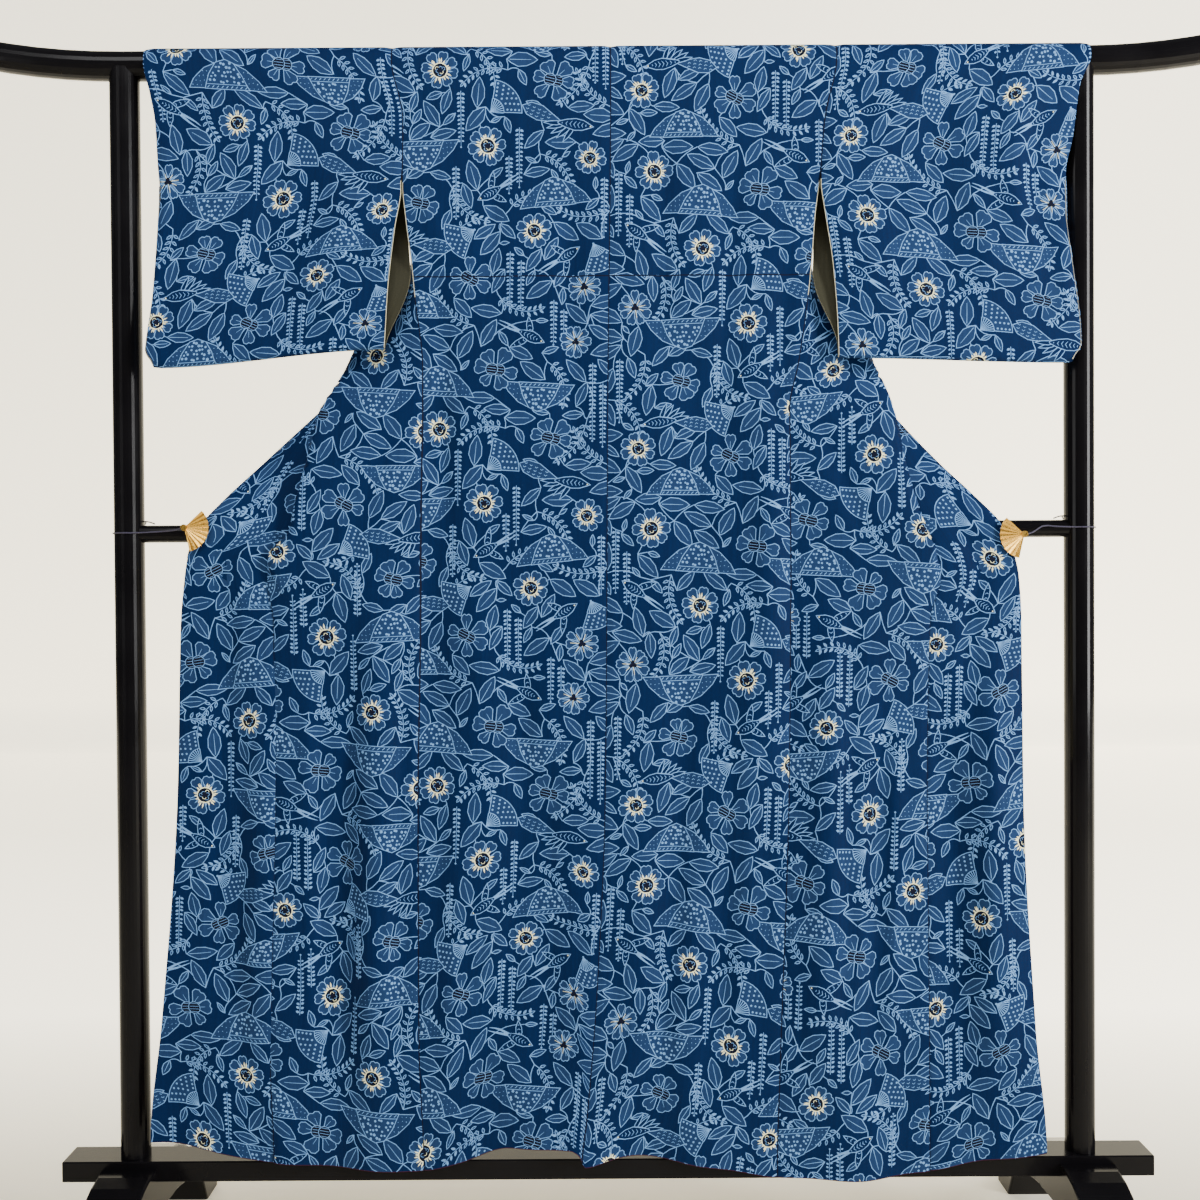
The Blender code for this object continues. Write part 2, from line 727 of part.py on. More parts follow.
def round_foot(mesh):
    """Rounds the long edges of a foot's sides, apart from the notch."""
    work = bmesh.new()
    work.from_mesh(mesh)
    bmesh.ops.recalc_face_normals(work, faces=work.faces)
    edges = []
    for edge in work.edges:
        a, b = (vert.co for vert in edge.verts)
        clear_of_notch = min(abs(a.y), abs(b.y)) > BEAM_DEPTH / 2 + 2 * GAP
        if abs(a.x - b.x) < GAP and clear_of_notch and max(a.z, b.z) > FOOT_TOE_HEIGHT / 2:
            edges.append(edge)
    bmesh.ops.bevel(
        work, geom=edges, offset=FOOT_EDGE, offset_type="OFFSET", segments=2,
        profile=0.5, affect="EDGES",
    )  # fmt: skip
    work.to_mesh(mesh)
    work.free()


def make_foot(side, material):
    outline = foot_profile()
    left = SIDES[side] * POST_OUT - FOOT_WIDTH / 2
    points = []
    for x in (left, left + FOOT_WIDTH):
        points += [Vector((x, y, z)) for y, z in outline]
    count = len(outline)
    faces = [tuple(range(count)), tuple(range(count, 2 * count))[::-1]]
    for i in range(count):
        after = (i + 1) % count
        faces.append((i, i + count, after + count, after))
    mesh = mesh_from(f"foot_{side}", points, faces)
    round_foot(mesh)
    return add_object(f"foot_{side}", mesh, material)


def sector_mesh(name, centre, sign, radius, y, thickness, pleats, depth):
    """A fan plate in the XZ plane, opening towards the middle, pleated along its radii."""
    points = []
    steps = 2 * pleats
    for face_y in (y, y + thickness):
        for reach in (PLATE_START, radius):
            for i in range(steps + 1):
                turn = math.radians(mix(FAN_TOP, FAN_BOTTOM, i / steps))
                fold = depth * (1 if i % 2 else -1) * reach / radius
                x = centre.x - sign * reach * math.cos(turn)
                points.append(Vector((x, face_y + fold, centre.z + reach * math.sin(turn))))
    row = steps + 1
    faces = []
    for i in range(steps):
        near_in, near_out, far_in, far_out = (i, i + row, i + 2 * row, i + 3 * row)
        faces.append((near_in, near_in + 1, near_out + 1, near_out))
        faces.append((far_in, far_out, far_out + 1, far_in + 1))
        faces.append((near_out, near_out + 1, far_out + 1, far_out))
        faces.append((near_in, far_in, far_in + 1, near_in + 1))
    for i in (0, steps):
        faces.append((i, i + row, i + 3 * row, i + 2 * row))
    mesh = mesh_from(name, points, faces)
    face_outwards(mesh)
    return mesh


def make_clip(side, material):
    """A pleated fan in front of the cloth, a plain jaw behind it and a barrel that joins them."""
    sign = SIDES[side]
    centre = Vector((sign * CLIP_OUT, 0, CLIP_HEIGHT[side]))
    name = f"clip_{side}"
    fan = sector_mesh(name, centre, sign, FAN_RADIUS, FAN_Y, FAN_THICKNESS, FAN_PLEATS, PLEAT_DEPTH)
    clip = add_object(name, fan, material)
    jaw = sector_mesh(f"{name}_jaw", centre, sign, JAW_RADIUS, JAW_Y, FAN_THICKNESS, JAW_STEPS, 0)
    cut_with(clip, add_object(f"{name}_jaw", jaw, material), "UNION")
    mesh = bpy.data.meshes.new(f"{name}_barrel")
    work = bmesh.new()
    length = JAW_Y + 2 * FAN_THICKNESS - (FAN_Y - 2 * FAN_THICKNESS)
    bmesh.ops.create_cone(
        work,
        cap_ends=True,
        segments=16,
        radius1=PIVOT_RADIUS,
        radius2=PIVOT_RADIUS,
        depth=length,
    )
    for vert in work.verts:
        vert.co = Vector((vert.co.x, -vert.co.z, vert.co.y))
    middle = Vector((centre.x, FAN_Y - 2 * FAN_THICKNESS + length / 2, centre.z))
    bmesh.ops.translate(work, vec=middle, verts=work.verts)
    bmesh.ops.recalc_face_normals(work, faces=work.faces)
    work.to_mesh(mesh)
    work.free()
    cut_with(clip, add_object(f"{name}_barrel", mesh, material), "UNION")
    return clip


def cord_route(side):
    """From the clip's barrel along the rail, over it and once round the post."""
    sign = SIDES[side]
    start_z = CLIP_HEIGHT[side]
    clear = CORD_RADIUS + GAP
    on_rail = RAIL_RADIUS + clear
    loop = POST_RADIUS + clear + GAP
    route = [
        Vector((CLIP_OUT + PIVOT_RADIUS + clear, -0.0262, start_z)),
        Vector((CLIP_OUT + 0.016, -0.0240, mix(start_z, RAIL_HEIGHT, 0.4))),
        Vector((CLIP_OUT + 0.032, -on_rail - 0.003, RAIL_HEIGHT + 0.003)),
        Vector((CLIP_OUT + 0.050, -on_rail - 0.0035, RAIL_HEIGHT + 0.002)),
    ]
    for degrees in range(240, 541, 20):
        turn = math.radians(degrees)
        rise = 0.0165 * ease(degrees, 400, 540)
        spot = Vector((POST_OUT + loop * math.cos(turn), loop * math.sin(turn), 0))
        spot.z = RAIL_HEIGHT + 0.001 + rise
        route.append(spot)
    top = RAIL_HEIGHT + on_rail + 0.001
    route.append(Vector((POST_OUT - loop - 0.006, -0.001, top + 0.0025)))
    route.append(Vector((POST_OUT - loop - 0.016, -0.007, top - 0.0005)))
    return [Vector((sign * p.x, p.y, p.z)) for p in route]


def make_cord(side, material):
    route = cord_route(side)
    curve = bpy.data.curves.new(f"clip_cord_{side}", "CURVE")
    curve.dimensions = "3D"
    spline = curve.splines.new("POLY")
    spline.points.add(CORD_POINTS - 1)
    for i, point in enumerate(spline.points):
        spot = smooth_path(route, (len(route) - 1) * i / (CORD_POINTS - 1) * 0.99999)
        point.co = (*spot, 1.0)
    curve.bevel_depth = CORD_RADIUS
    curve.bevel_resolution = 2
    curve.use_fill_caps = True
    cord = bpy.data.objects.new(f"clip_cord_{side}", curve)
    bpy.context.collection.objects.link(cord)
    curve.materials.append(material)
    return cord


def main():
    clear_scene()
    silk = make_material("indigo_silk", (0.018, 0.070, 0.190), 0.55)
    lacquer = make_material("black_lacquer", (0.006, 0.006, 0.007), 0.12)
    gold = make_material("gold_metal", (0.80, 0.53, 0.16), 0.25, 1.0)
    cord = make_material("dark_cord", (0.020, 0.012, 0.035), 0.6)

    make_tube("top_rod", BAR_RADIUS, bar_path(), lacquer)
    straight = [Vector((-BAR_HALF_LENGTH, 0, BAR_AXIS)), Vector((BAR_HALF_LENGTH, 0, BAR_AXIS))]
    bar_cutter = make_tube("bar_cutter", BAR_RADIUS + GAP, straight, lacquer)
    make_rail(lacquer)
    make_beam(lacquer)
    for side in SIDES:
        make_post(side, bar_cutter, lacquer)
        make_foot(side, lacquer)
        make_body(side, silk)
        make_okumi(side, silk)
        make_sleeve(side, silk)
        make_clip(side, gold)
        make_cord(side, cord)
    make_collar(silk)


main()
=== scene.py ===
"""Looks of a lined kimono hung over the bar of a black lacquered stand, seen from its back.

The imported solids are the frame. Each cloth panel is rebuilt here as a thin lined shell on
the same form, and its print is drawn as flat shapes in the cloth itself.
Metres, +Z up, the garment's back faces -Y. "out" is the distance from the middle plane
towards a side, "drop" the distance below the top fold of the cloth.
"""

import json
import math
import random

import bmesh
import bpy
import numpy as np
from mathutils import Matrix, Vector, geometry


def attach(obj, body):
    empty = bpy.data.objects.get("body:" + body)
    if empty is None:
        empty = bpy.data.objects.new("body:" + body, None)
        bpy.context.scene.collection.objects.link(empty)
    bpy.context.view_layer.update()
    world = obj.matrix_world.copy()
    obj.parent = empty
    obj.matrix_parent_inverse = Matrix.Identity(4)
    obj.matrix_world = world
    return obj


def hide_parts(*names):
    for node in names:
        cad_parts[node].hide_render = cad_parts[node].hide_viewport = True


SIDES = {"left": -1, "right": 1}
# Differences in length, along the cloth or in share that count as none
TINY = 1e-6

# Cloth, as in the solids
WALL = 0.002
GAP = 0.0003
CLOTH_TOP = 1.687
FOLD_RADIUS = 0.0217
BAR_AXIS = CLOTH_TOP - FOLD_RADIUS - WALL / 2
NECK_HALF_WIDTH = 0.088
NECK_DROP = 0.037
FOLD_DROP = 0.0235
SLEEVE_SEAM_DROP = 0.238
SIDE_SEAM_DROP = 0.347
HEM_DROP = 1.523
OKUMI_START_DROP = 0.282
RIDGE_GAP = 0.0004
OKUMI_TUCK = 0.004
STEP_BACK = WALL + 0.0007
BULGE_SHARE = 0.47
TURN_SHARE = 0.55
HEM_LEVEL_DROP = 0.95
# Waves down the cloth: height, rate and start, and for the slanted one also its slant
WAVES = ((0.0042, 31.0, 0.6), (0.0012, 12.0, 1.0))
SLANTED_WAVE = (0.0022, 57.0, 2.1, 1.4)
# The ridge along the centre seam at the hem
CENTRE_RIDGE = 0.012
CENTRE_RIDGE_WIDTH = 0.03

# The shell's faces, from the middle of the solid wall. The lining lies deeper in the tight
# fold of the front, between these drops and these shares of the front's width
OUTER = 0.0009
INNER = -0.0009
FOLD_INNER = -0.0028
TIGHT_DROPS = (0.3, 0.8)
TIGHT_SHARES = (0.25, 0.9)

# The panels' grids: steps along and over the bar, and columns across
ROW_STEP = 0.007
COLLAR_ROW_STEP = 0.008
FOLD_STEPS = 12
BACK_COLUMNS = 28
FRONT_COLUMNS = 34
OKUMI_COLUMNS = 12
SLEEVE_COLUMNS = 26
SLEEVE_END_COLUMNS = 7
COLLAR_COLUMNS = 12
# Counted from the hem, the row that tells which way a hanging panel faces
FACING_ROW = 30


class Table:
    """Rows of named columns, read as smooth curves that never leave their rows' range."""

    def __init__(self, names, *rows):
        self.names = names.split()
        self.rows = rows
        self.keys = [row[0] for row in rows]
        self.columns = {name: [row[i] for row in rows] for i, name in enumerate(self.names)}

    def at(self, name, key):
        keys, values = self.keys, self.columns[name]
        if key <= keys[0]:
            return values[0]
        if key >= keys[-1]:
            return values[-1]
        i = max(k for k in range(len(keys) - 1) if keys[k] <= key)
        span = keys[i + 1] - keys[i]
        start, end = self.slope(values, i), self.slope(values, i + 1)
        t = (key - keys[i]) / span
        return (
            values[i] * (1 + 2 * t) * (1 - t) ** 2
            + values[i + 1] * t * t * (3 - 2 * t)
            + span * t * (1 - t) * (start * (1 - t) - end * t)
        )

    def slope(self, values, i):
        keys = self.keys
        if i == 0 or i == len(keys) - 1:
            return 0.0
        before = (values[i] - values[i - 1]) / (keys[i] - keys[i - 1])
        after = (values[i + 1] - values[i]) / (keys[i + 1] - keys[i])
        if before * after <= 0:
            return 0.0
        return 2 * before * after / (before + after)


# Where the seams run on each side: the side seam, the soft fold that the front
# makes over the okumi, the okumi seam and the front edge
OUTLINE = {
    "left": Table(
        "drop side fold seam edge",
        (0.0235, 0.2853, 0.177, 0.088, 0.088),
        (0.105, 0.2703, 0.180, 0.094, 0.094),
        (0.194, 0.2718, 0.205, 0.122, 0.122),
        (0.238, 0.2680, 0.237, 0.160, 0.156),
        (0.30, 0.2605, 0.290, 0.203, 0.212),
        (0.347, 0.2560, 0.325, 0.240, 0.260),
        (0.44, 0.2460, 0.356, 0.277, 0.346),
        (0.501, 0.2463, 0.3895, 0.333, 0.4045),
        (0.577, 0.2480, 0.4065, 0.383, 0.4775),
        (0.62, 0.2490, 0.417, 0.405, 0.519),
        (0.666, 0.2497, 0.4265, 0.4235, 0.556),
        (0.70, 0.2503, 0.455, 0.4585, 0.568),
        (0.73, 0.2505, 0.445, 0.459, 0.5725),
        (0.789, 0.2512, 0.400, 0.451, 0.578),
        (1.035, 0.2557, 0.372, 0.4535, 0.585),
        (1.35, 0.2560, 0.374, 0.4605, 0.607),
        (1.523, 0.2500, 0.372, 0.4550, 0.6227),
    ),
    "right": Table(
        "drop side fold seam edge",
        (0.0235, 0.3201, 0.193, 0.088, 0.088),
        (0.105, 0.3038, 0.200, 0.094, 0.094),
        (0.194, 0.2957, 0.225, 0.122, 0.122),
        (0.238, 0.2900, 0.257, 0.160, 0.156),
        (0.30, 0.2850, 0.305, 0.210, 0.219),
        (0.347, 0.2800, 0.342, 0.258, 0.276),
        (0.44, 0.2655, 0.3765, 0.297, 0.362),
        (0.501, 0.2530, 0.3975, 0.345, 0.4035),
        (0.577, 0.2530, 0.411, 0.388, 0.465),
        (0.62, 0.2530, 0.421, 0.409, 0.505),
        (0.666, 0.2530, 0.4355, 0.4325, 0.5435),
        (0.70, 0.2530, 0.449, 0.452, 0.557),
        (0.73, 0.2530, 0.445, 0.4585, 0.5635),
        (0.789, 0.2525, 0.400, 0.4435, 0.567),
        (1.035, 0.2490, 0.365, 0.4385, 0.568),
        (1.35, 0.2360, 0.362, 0.4395, 0.583),
        (1.523, 0.2300, 0.360, 0.4395, 0.599),
    ),
}

# How far behind the bar's middle plane each of those lines hangs
DEPTH = Table(
    "drop side bulge fold turn seam edge",
    (0.0235, 0.0217, 0.0217, 0.0217, 0.0217, 0.0217, 0.0217),
    (0.05, 0.0222, 0.024, 0.026, 0.026, 0.0245, 0.0245),
    (0.105, 0.0235, 0.038, 0.052, 0.052, 0.045, 0.045),
    (0.194, 0.0235, 0.055, 0.085, 0.090, 0.075, 0.075),
    (0.238, 0.0200, 0.056, 0.100, 0.112, 0.098, 0.102),
    (0.30, -0.0050, 0.035, 0.085, 0.105, 0.092, 0.105),
    (0.347, -0.0205, 0.006, 0.048, 0.082, 0.072, 0.095),
    (0.44, -0.0225, -0.016, 0.002, 0.026, 0.026, 0.055),
    (0.501, -0.0228, -0.024, -0.014, 0.002, 0.006, 0.028),
    (0.577, -0.0232, -0.029, -0.028, -0.013, -0.011, 0.000),
    (0.62, -0.0234, -0.031, -0.034, -0.021, -0.019, -0.016),
    (0.66, -0.0236, -0.033, -0.037, -0.026, -0.025, -0.027),
    (0.70, -0.0240, -0.033, -0.037, -0.031, -0.029, -0.028),
    (0.789, -0.0245, -0.031, -0.033, -0.031, -0.029, -0.028),
    (1.523, -0.0350, -0.038, -0.037, -0.036, -0.036, -0.037),
)

CENTRE_SEAM = Table(
    "drop x",
    (0.0, 0.0127),
    (0.49, 0.0059),
    (1.035, -0.0010),
    (1.285, -0.0133),
    (1.46, -0.0283),
    (1.523, -0.0352),
)

# Height of the hem above the floor, by distance from the middle
HEM = {
    "left": Table(
        "out z",
        (0.02, 0.158),
        (0.05, 0.180),
        (0.13, 0.180),
        (0.20, 0.161),
        (0.26, 0.151),
        (0.34, 0.153),
        (0.48, 0.166),
        (0.62, 0.191),
    ),
    "right": Table(
        "out z",
        (-0.035, 0.157),
        (0.035, 0.167),
        (0.14, 0.153),
        (0.235, 0.137),
        (0.34, 0.136),
        (0.44, 0.144),
        (0.52, 0.161),
        (0.60, 0.167),
    ),
}

# Sleeve edges and the two layers of each sleeve
SLEEVE = {
    "left": Table(
        "drop inner outer",
        (0.0235, 0.2853, 0.6230),
        (0.07, 0.2775, 0.6135),
        (0.107, 0.2703, 0.6070),
        (0.1675, 0.2710, 0.6035),
        (0.199, 0.2720, 0.6010),
        (0.255, 0.2810, 0.6030),
        (0.341, 0.2905, 0.6080),
        (0.404, 0.2940, 0.6170),
        (0.44, 0.2963, 0.6200),
    ),
    "right": Table(
        "drop inner outer",
        (0.0235, 0.3201, 0.6660),
        (0.062, 0.3150, 0.6510),
        (0.136, 0.3000, 0.6400),
        (0.185, 0.2960, 0.6300),
        (0.237, 0.3020, 0.6300),
        (0.307, 0.3115, 0.6370),
        (0.40, 0.3170, 0.6460),
        (0.44, 0.3175, 0.6463),
    ),
}
SLEEVE_BOTTOM = {"left": (0.4165, 0.4400), "right": (0.4320, 0.4400)}
SLEEVE_LAYERS = Table(
    "drop near far",
    (0.0235, -0.0217, 0.0217),
    (0.105, -0.0228, 0.0235),
    (0.17, -0.0240, 0.0235),
    (0.23, -0.0265, 0.0190),
    (0.26, -0.0285, 0.0050),
    (0.29, -0.0300, -0.0090),
    (0.32, -0.0320, -0.0185),
    (0.347, -0.0335, -0.0240),
    (0.40, -0.0365, -0.0285),
    (0.44, -0.0385, -0.0300),
)
HAND_OPENING_DROP = 0.194
SLEEVE_LAST_DROP = 0.44
SEAM_CLEARANCE = 0.0005
# The lower outer corner is drawn in by this, from this share of the free length on
SLEEVE_CORNER = 0.012
CORNER_START = 0.9
# The far layer's inner edge stays this near the body, and leaves it between these drops
FAR_LAYER_GAP = 0.003
FAR_LAYER_LEAVES = (0.31, 0.42)
# The rows that turn under the bottom lie this far apart along the cloth
SLEEVE_TURN = 0.003
# The closed end bulges by this share of the gap between the layers
SLEEVE_END_BULGE = 0.12
# The sleeve is sewn to the body down to this drop, and eases away over the last stretch
ARMHOLE_DROP = 0.19
ARMHOLE_EASE = 0.02

# Collar: where it starts from the front edge, how wide it is there and how
# far its free edge leans from straight down towards the middle
COLLAR_NECK = Table(
    "out reach lean",
    (0.0, 0.055, 0.0),
    (0.03, 0.056, 10.0),
    (0.06, 0.064, 25.0),
    (0.082, 0.076, 35.0),
)
COLLAR_FRONT = Table(
    "drop start_out start_y reach lean rise",
    (0.045, -0.0026, 0.0, 0.078, 37.0, 0.04),
    (0.07, -0.0026, 0.0, 0.070, 43.0, 0.04),
    (0.105, -0.0026, 0.0, 0.060, 55.0, 0.04),
    (0.15, -0.0026, 0.0, 0.058, 62.0, 0.04),
    (0.20, -0.0024, 0.0006, 0.057, 62.0, 0.04),
    (0.238, -0.0010, 0.0032, 0.058, 60.0, 0.04),
    (0.30, 0.0005, 0.0034, 0.060, 55.0, 0.04),
    (0.44, 0.0010, 0.0034, 0.064, 50.0, -0.03),
    (0.50, 0.0010, 0.0034, 0.066, 50.0, -0.16),
    (0.577, 0.0010, 0.0034, 0.068, 51.0, -0.18),
    (0.62, 0.0010, 0.0034, 0.070, 54.0, -0.07),
    (0.666, 0.0010, 0.0034, 0.072, 58.0, 0.0),
    (0.70, 0.0010, 0.0034, 0.072, 60.0, 0.02),
)
COLLAR_STAND_OFF = 0.04
COLLAR_NECK_OUT = 0.082
COLLAR_START_DROP = 0.045
COLLAR_END_DROP = 0.70

# Soft troughs (above 0) and ridges (below 0) pressed into the panels, in metres:
# from across and along to across and along, half width, depth. Across is from the panel's
# first edge. Along is the drop, with a minus on the back and on a sleeve's near layer
CREASES = {
    "back_left": (
        (0.085, -0.90, 0.070, -1.52, 0.028, 0.0042),
        (0.175, -0.60, 0.165, -1.40, 0.032, -0.0034),
        (0.235, -0.36, 0.240, -1.10, 0.022, 0.0022),
        (0.060, -0.10, 0.045, -0.62, 0.016, 0.0022),
        (0.150, -0.03, 0.165, -0.40, 0.012, 0.0018),
        (0.235, -0.25, 0.215, -0.75, 0.014, 0.0020),
        (0.110, -0.70, 0.120, -1.45, 0.018, 0.0024),
        (0.200, -0.95, 0.205, -1.50, 0.015, -0.0022),
        (0.262, -0.05, 0.235, -0.16, 0.007, 0.0016),
        (0.255, -0.20, 0.225, -0.30, 0.008, -0.0014),
    ),
    "back_right": (
        (0.120, -0.30, 0.130, -1.20, 0.034, 0.0024),
        (0.225, -0.38, 0.215, -1.15, 0.026, -0.0042),
        (0.050, -0.95, 0.060, -1.50, 0.026, -0.0030),
        (0.170, -1.05, 0.160, -1.52, 0.026, 0.0032),
        (0.070, -0.06, 0.075, -0.48, 0.014, 0.0020),
        (0.170, -0.10, 0.155, -0.66, 0.016, 0.0022),
        (0.245, -0.24, 0.222, -0.66, 0.013, 0.0018),
        (0.105, -0.80, 0.095, -1.48, 0.018, 0.0026),
        (0.190, -0.75, 0.200, -1.46, 0.016, -0.0022),
        (0.292, -0.05, 0.262, -0.15, 0.007, 0.0016),
        (0.270, -0.18, 0.240, -0.30, 0.008, -0.0014),
    ),
    "front_left": (
        (0.050, 0.70, 0.060, 1.50, 0.026, -0.0034),
        (0.125, 0.74, 0.120, 1.50, 0.026, 0.0030),
        (0.030, 0.50, 0.110, 0.74, 0.010, 0.0022),
        (0.060, 0.46, 0.150, 0.66, 0.008, -0.0018),
        (0.090, 0.72, 0.100, 1.46, 0.014, 0.0024),
        (0.150, 0.80, 0.145, 1.48, 0.012, -0.0020),
        (0.020, 0.80, 0.030, 1.50, 0.010, 0.0016),
    ),
    "front_right": (
        (0.050, 0.68, 0.055, 1.50, 0.028, -0.0040),
        (0.125, 0.80, 0.125, 1.50, 0.026, 0.0034),
        (0.035, 0.50, 0.120, 0.72, 0.010, 0.0022),
        (0.070, 0.47, 0.160, 0.64, 0.008, -0.0018),
        (0.080, 0.70, 0.085, 1.48, 0.014, 0.0022),
        (0.145, 0.86, 0.150, 1.46, 0.012, -0.0022),
    ),
    "okumi_left": (
        (0.078, 0.68, 0.080, 1.45, 0.026, 0.0046),
        (0.015, 0.74, 0.015, 1.50, 0.020, -0.0026),
        (0.060, 0.60, 0.070, 0.95, 0.010, 0.0018),
        (0.100, 0.72, 0.090, 1.46, 0.012, -0.0020),
        (0.045, 0.90, 0.050, 1.50, 0.012, 0.0022),
    ),
    "okumi_right": (
        (0.090, 0.80, 0.098, 1.50, 0.026, -0.0044),
        (0.028, 0.80, 0.026, 1.50, 0.022, 0.0030),
        (0.055, 0.60, 0.060, 1.00, 0.010, 0.0018),
        (0.095, 0.74, 0.085, 1.40, 0.012, -0.0018),
        (0.040, 0.95, 0.055, 1.50, 0.012, 0.0022),
    ),
    "sleeve_left": (
        (0.170, -0.03, 0.180, -0.42, 0.034, 0.0026),
        (0.075, -0.16, 0.070, -0.43, 0.024, -0.0024),
        (0.290, -0.06, 0.300, -0.43, 0.007, 0.0026),
        (0.312, -0.10, 0.318, -0.42, 0.006, -0.0020),
        (0.030, -0.05, 0.060, -0.15, 0.008, 0.0016),
        (0.120, -0.12, 0.150, -0.43, 0.016, 0.0018),
        (0.210, -0.04, 0.200, -0.30, 0.014, -0.0014),
        (0.290, 0.06, 0.300, 0.40, 0.010, 0.0022),
        (0.130, 0.10, 0.140, 0.42, 0.016, 0.0018),
    ),
    "sleeve_right": (
        (0.150, -0.03, 0.160, -0.42, 0.034, 0.0026),
        (0.255, -0.03, 0.262, -0.30, 0.024, -0.0028),
        (0.275, -0.05, 0.300, -0.38, 0.008, 0.0024),
        (0.315, -0.12, 0.310, -0.42, 0.006, -0.0020),
        (0.035, -0.05, 0.070, -0.16, 0.008, 0.0016),
        (0.110, -0.10, 0.090, -0.42, 0.016, 0.0018),
        (0.200, -0.06, 0.215, -0.36, 0.014, -0.0014),
        (0.285, 0.06, 0.295, 0.40, 0.010, 0.0022),
        (0.120, 0.08, 0.110, 0.42, 0.016, 0.0018),
    ),
}

# Depths are multiplied by this and kept to this share of the crease's half width
FOLD_GROWTH = 2.5
STEEPEST = 0.4
# A crease fades in and out over this share of its length
CREASE_FADE = 0.3

# Cloth edges turn in at the seams, in metres
SEAM_VALLEY = 0.0016
SEAM_REACH = 0.005
# The tuck that is sewn across the back
TUCK_DROP = 0.319
TUCK_DEPTH = 0.0012
TUCK_REACH = 0.005


def mix(a, b, t):
    return a + (b - a) * t


def ease(value, start, end):
    t = min(max((value - start) / (end - start), 0.0), 1.0)
    return t * t * (3 - 2 * t)


def steps(start, end, size):
    """Evenly spaced values from start to end, about size apart."""
    return np.linspace(start, end, max(2, round(abs(end - start) / size) + 1))


def hem_shift(side, out, drop):
    level = CLOTH_TOP - HEM_DROP
    return (HEM[side].at("z", out) - level) * ease(drop, HEM_LEVEL_DROP, HEM_DROP)


def wave(x, drop):
    """Soft hanging waves across the garment, growing from the clips to the hem."""
    growth = drop / HEM_DROP
    height, rate, start, slant = SLANTED_WAVE
    waves = height * math.sin(x * rate + start + slant * drop)
    for height, rate, start in WAVES:
        waves += height * math.sin(x * rate + start)
    middle = (x - CENTRE_SEAM.at("x", drop)) / CENTRE_RIDGE_WIDTH
    ridge = CENTRE_RIDGE * math.exp(-(middle**2)) * growth**5
    return waves * growth**2 - ridge


def smooth_path(stations, t):
    """Centripetal Catmull-Rom curve through the stations, t from 0 to their count less 1."""
    last = len(stations) - 1
    i = min(int(t), last - 1)
    t -= i
    p1, p2 = stations[i], stations[i + 1]
    p0 = stations[i - 1] if i > 0 else p1 + (p1 - p2)
    p3 = stations[i + 2] if i + 2 <= last else p2 + (p2 - p1)
    knots = [0.0]
    for a, b in ((p0, p1), (p1, p2), (p2, p3)):
        knots.append(knots[-1] + max((b - a).length, TINY) ** 0.5)
    k0, k1, k2, k3 = knots
    k = mix(k1, k2, t)

    def between(a, b, start, end):
        return a * ((end - k) / (end - start)) + b * ((k - start) / (end - start))

    a1, a2, a3 = between(p0, p1, k0, k1), between(p1, p2, k1, k2), between(p2, p3, k2, k3)
    return between(between(a1, a2, k0, k2), between(a2, a3, k1, k3), k1, k2)


def front_path(side, drop):
    """The front's section at a drop: (out, y) from its side edge to its okumi seam."""
    out = {name: OUTLINE[side].at(name, drop) for name in ("side", "fold", "seam")}
    y = {name: DEPTH.at(name, drop) for name in ("side", "bulge", "fold", "turn", "seam")}
    clear = mix(-WALL / 2, 3 * GAP, ease(drop, SLEEVE_SEAM_DROP, SIDE_SEAM_DROP))
    return [
        Vector((out["side"] + clear, y["side"])),
        Vector((mix(out["side"], out["fold"], BULGE_SHARE), y["bulge"])),
        Vector((out["fold"], y["fold"])),
        Vector((mix(out["fold"], out["seam"], TURN_SHARE), y["turn"])),
        Vector((out["seam"], y["seam"])),
    ]


def hung(side, out, y, drop):
    x = SIDES[side] * out
    z = CLOTH_TOP - drop + hem_shift(side, out, drop)
    return Vector((x, y + wave(x, drop), z))


def back_row(side, drop, shares):
    """The back at a drop, from the centre seam (0) to the side edge (1)."""
    sign = SIDES[side]
    centre = sign * CENTRE_SEAM.at("x", drop) + GAP / 2 + RIDGE_GAP * (drop / HEM_DROP) ** 3
    edge = OUTLINE[side].at("side", drop)
    flat = mix(-FOLD_RADIUS, DEPTH.at("side", HEM_DROP), (drop / HEM_DROP) ** 2)
    row = []
    for share in shares:
        y = flat
        if drop >= SIDE_SEAM_DROP:
            y = mix(y, DEPTH.at("side", drop), share**4)
        row.append(hung(side, mix(centre, edge, share), y, drop))
    return row


def front_row(side, drop, shares):
    """The front at a drop, from its side edge (0) to the neck or okumi seam (1)."""
    path = front_path(side, drop)
    row = []
    for share in shares:
        spot = smooth_path(path, share * (len(path) - 1))
        if drop > SLEEVE_SEAM_DROP and share == 0:
            spot.x -= GAP / 2
        row.append(hung(side, spot.x, spot.y, drop))
    return row


def okumi_row(side, drop, shares):
    """The okumi at a drop, from its seam (0) to the front edge (1)."""
    start = Vector(
        (OUTLINE[side].at("seam", drop) - OKUMI_TUCK, DEPTH.at("seam", drop) + STEP_BACK)
    )
    end = Vector((OUTLINE[side].at("edge", drop), DEPTH.at("edge", drop)))
    spots = [start.lerp(end, share) for share in shares]
    return [hung(side, spot.x, spot.y, drop) for spot in spots]


